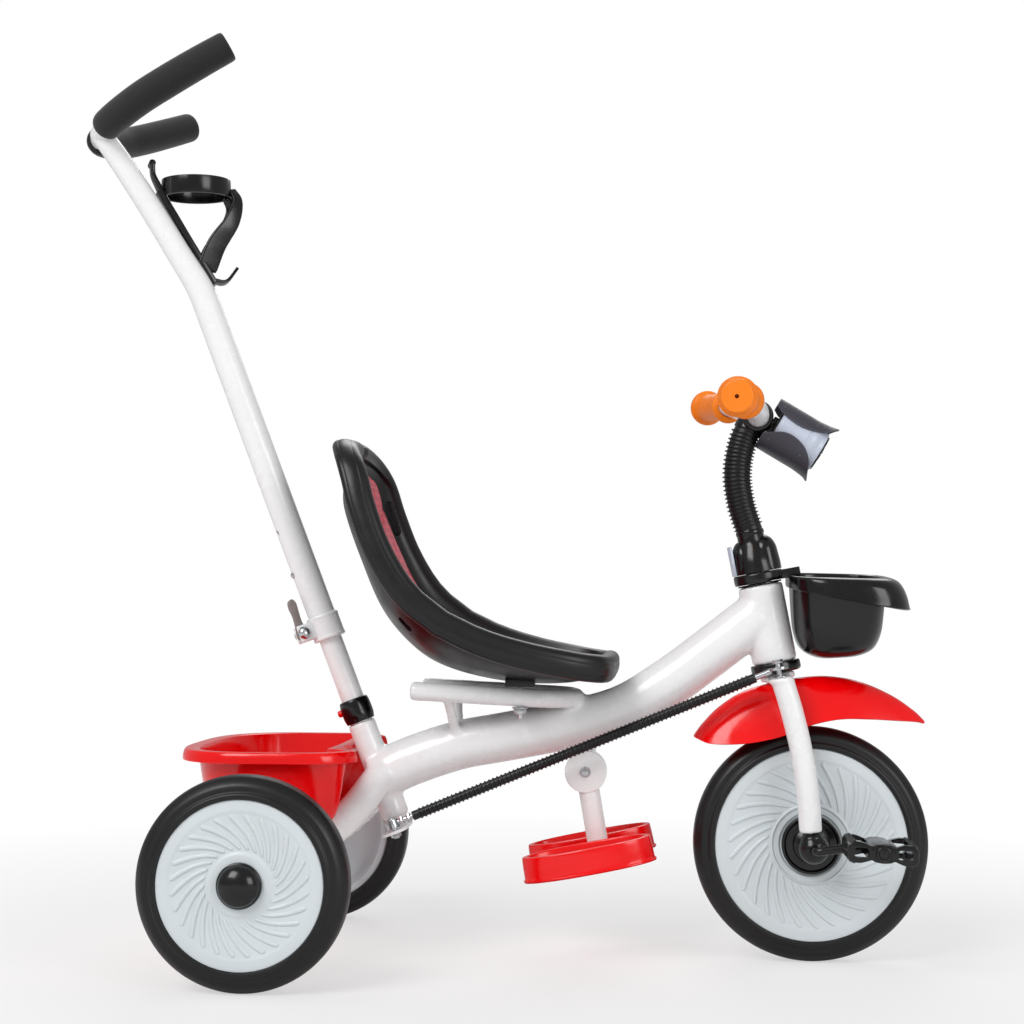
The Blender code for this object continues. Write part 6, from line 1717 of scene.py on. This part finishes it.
class TRICYCLE_OT_baskets(TricycleMaker, bpy.types.Operator):
    """Make the front and rear baskets"""
    bl_idname = "tricycle.baskets"
    bl_label = "Baskets"
    steps = (build_baskets,)


class TRICYCLE_OT_fork(TricycleMaker, bpy.types.Operator):
    """Make the fork, its axle knobs and the mudguard"""
    bl_idname = "tricycle.fork"
    bl_label = "Fork and mudguard"
    steps = (build_fork, build_fender)


class TRICYCLE_OT_stem(TricycleMaker, bpy.types.Operator):
    """Make the stem cover, hose, basket ring and release tab"""
    bl_idname = "tricycle.stem"
    bl_label = "Stem"
    steps = (build_stem,)


class TRICYCLE_OT_handlebar(TricycleMaker, bpy.types.Operator):
    """Make the handlebar, its clamp and its grips"""
    bl_idname = "tricycle.handlebar"
    bl_label = "Handlebar"
    steps = (build_handlebar, build_bar_clamp)


class TRICYCLE_OT_lamp(TricycleMaker, bpy.types.Operator):
    """Make the toy lamp"""
    bl_idname = "tricycle.lamp"
    bl_label = "Lamp"
    steps = (build_lamp,)


class TRICYCLE_OT_footrest(TricycleMaker, bpy.types.Operator):
    """Make the folding footrest"""
    bl_idname = "tricycle.footrest"
    bl_label = "Footrest"
    steps = (build_footrest,)


class TRICYCLE_OT_push_rod(TricycleMaker, bpy.types.Operator):
    """Make the push rod, its clamp, handle and bottle cage"""
    bl_idname = "tricycle.push_rod"
    bl_label = "Push rod"
    steps = (build_push_rod, build_bottle_cage)


class TRICYCLE_OT_link(TricycleMaker, bpy.types.Operator):
    """Make the steering link and its sleeve"""
    bl_idname = "tricycle.link"
    bl_label = "Steering link"
    steps = (build_link,)


class TRICYCLE_OT_stage(bpy.types.Operator):
    """Set the floor, the white room, the soft lamps and the camera"""
    bl_idname = "tricycle.stage"
    bl_label = "Stage"

    def execute(self, context):
        context.scene.view_settings.view_transform = "Standard"
        build_floor(context.scene.tricycle_sizes)
        build_world()
        build_lamps()
        build_camera()
        return {"FINISHED"}


MAKERS = (TRICYCLE_OT_frame, TRICYCLE_OT_wheels, TRICYCLE_OT_pedals, TRICYCLE_OT_seat, TRICYCLE_OT_baskets,
          TRICYCLE_OT_fork, TRICYCLE_OT_stem, TRICYCLE_OT_handlebar, TRICYCLE_OT_lamp, TRICYCLE_OT_footrest,
          TRICYCLE_OT_push_rod, TRICYCLE_OT_link, TRICYCLE_OT_stage)


class TRICYCLE_PT_panel(bpy.types.Panel):
    """The tricycle's pieces, sizes and colours"""
    bl_label = "Tricycle"
    bl_idname = "TRICYCLE_PT_panel"
    bl_space_type = "VIEW_3D"
    bl_region_type = "UI"
    bl_category = "Tricycle"

    def draw(self, context):
        for group in (context.scene.tricycle_sizes, context.scene.tricycle_colours):
            for name in group.__annotations__:
                self.layout.prop(group, name)
        for maker in MAKERS:
            self.layout.operator(maker.bl_idname)


CLASSES = (TricycleSizes, TricycleColours, *MAKERS, TRICYCLE_PT_panel)


def register():
    for item in CLASSES:
        bpy.utils.register_class(item)
    bpy.types.Scene.tricycle_sizes = bpy.props.PointerProperty(type=TricycleSizes)
    bpy.types.Scene.tricycle_colours = bpy.props.PointerProperty(type=TricycleColours)


def unregister():
    del bpy.types.Scene.tricycle_colours
    del bpy.types.Scene.tricycle_sizes
    for item in reversed(CLASSES):
        bpy.utils.unregister_class(item)


def main():
    register()
    for maker in MAKERS:
        family, name = maker.bl_idname.split(".")
        getattr(getattr(bpy.ops, family), name)()
    bpy.context.view_layer.update()


if __name__ == "__main__":
    main()
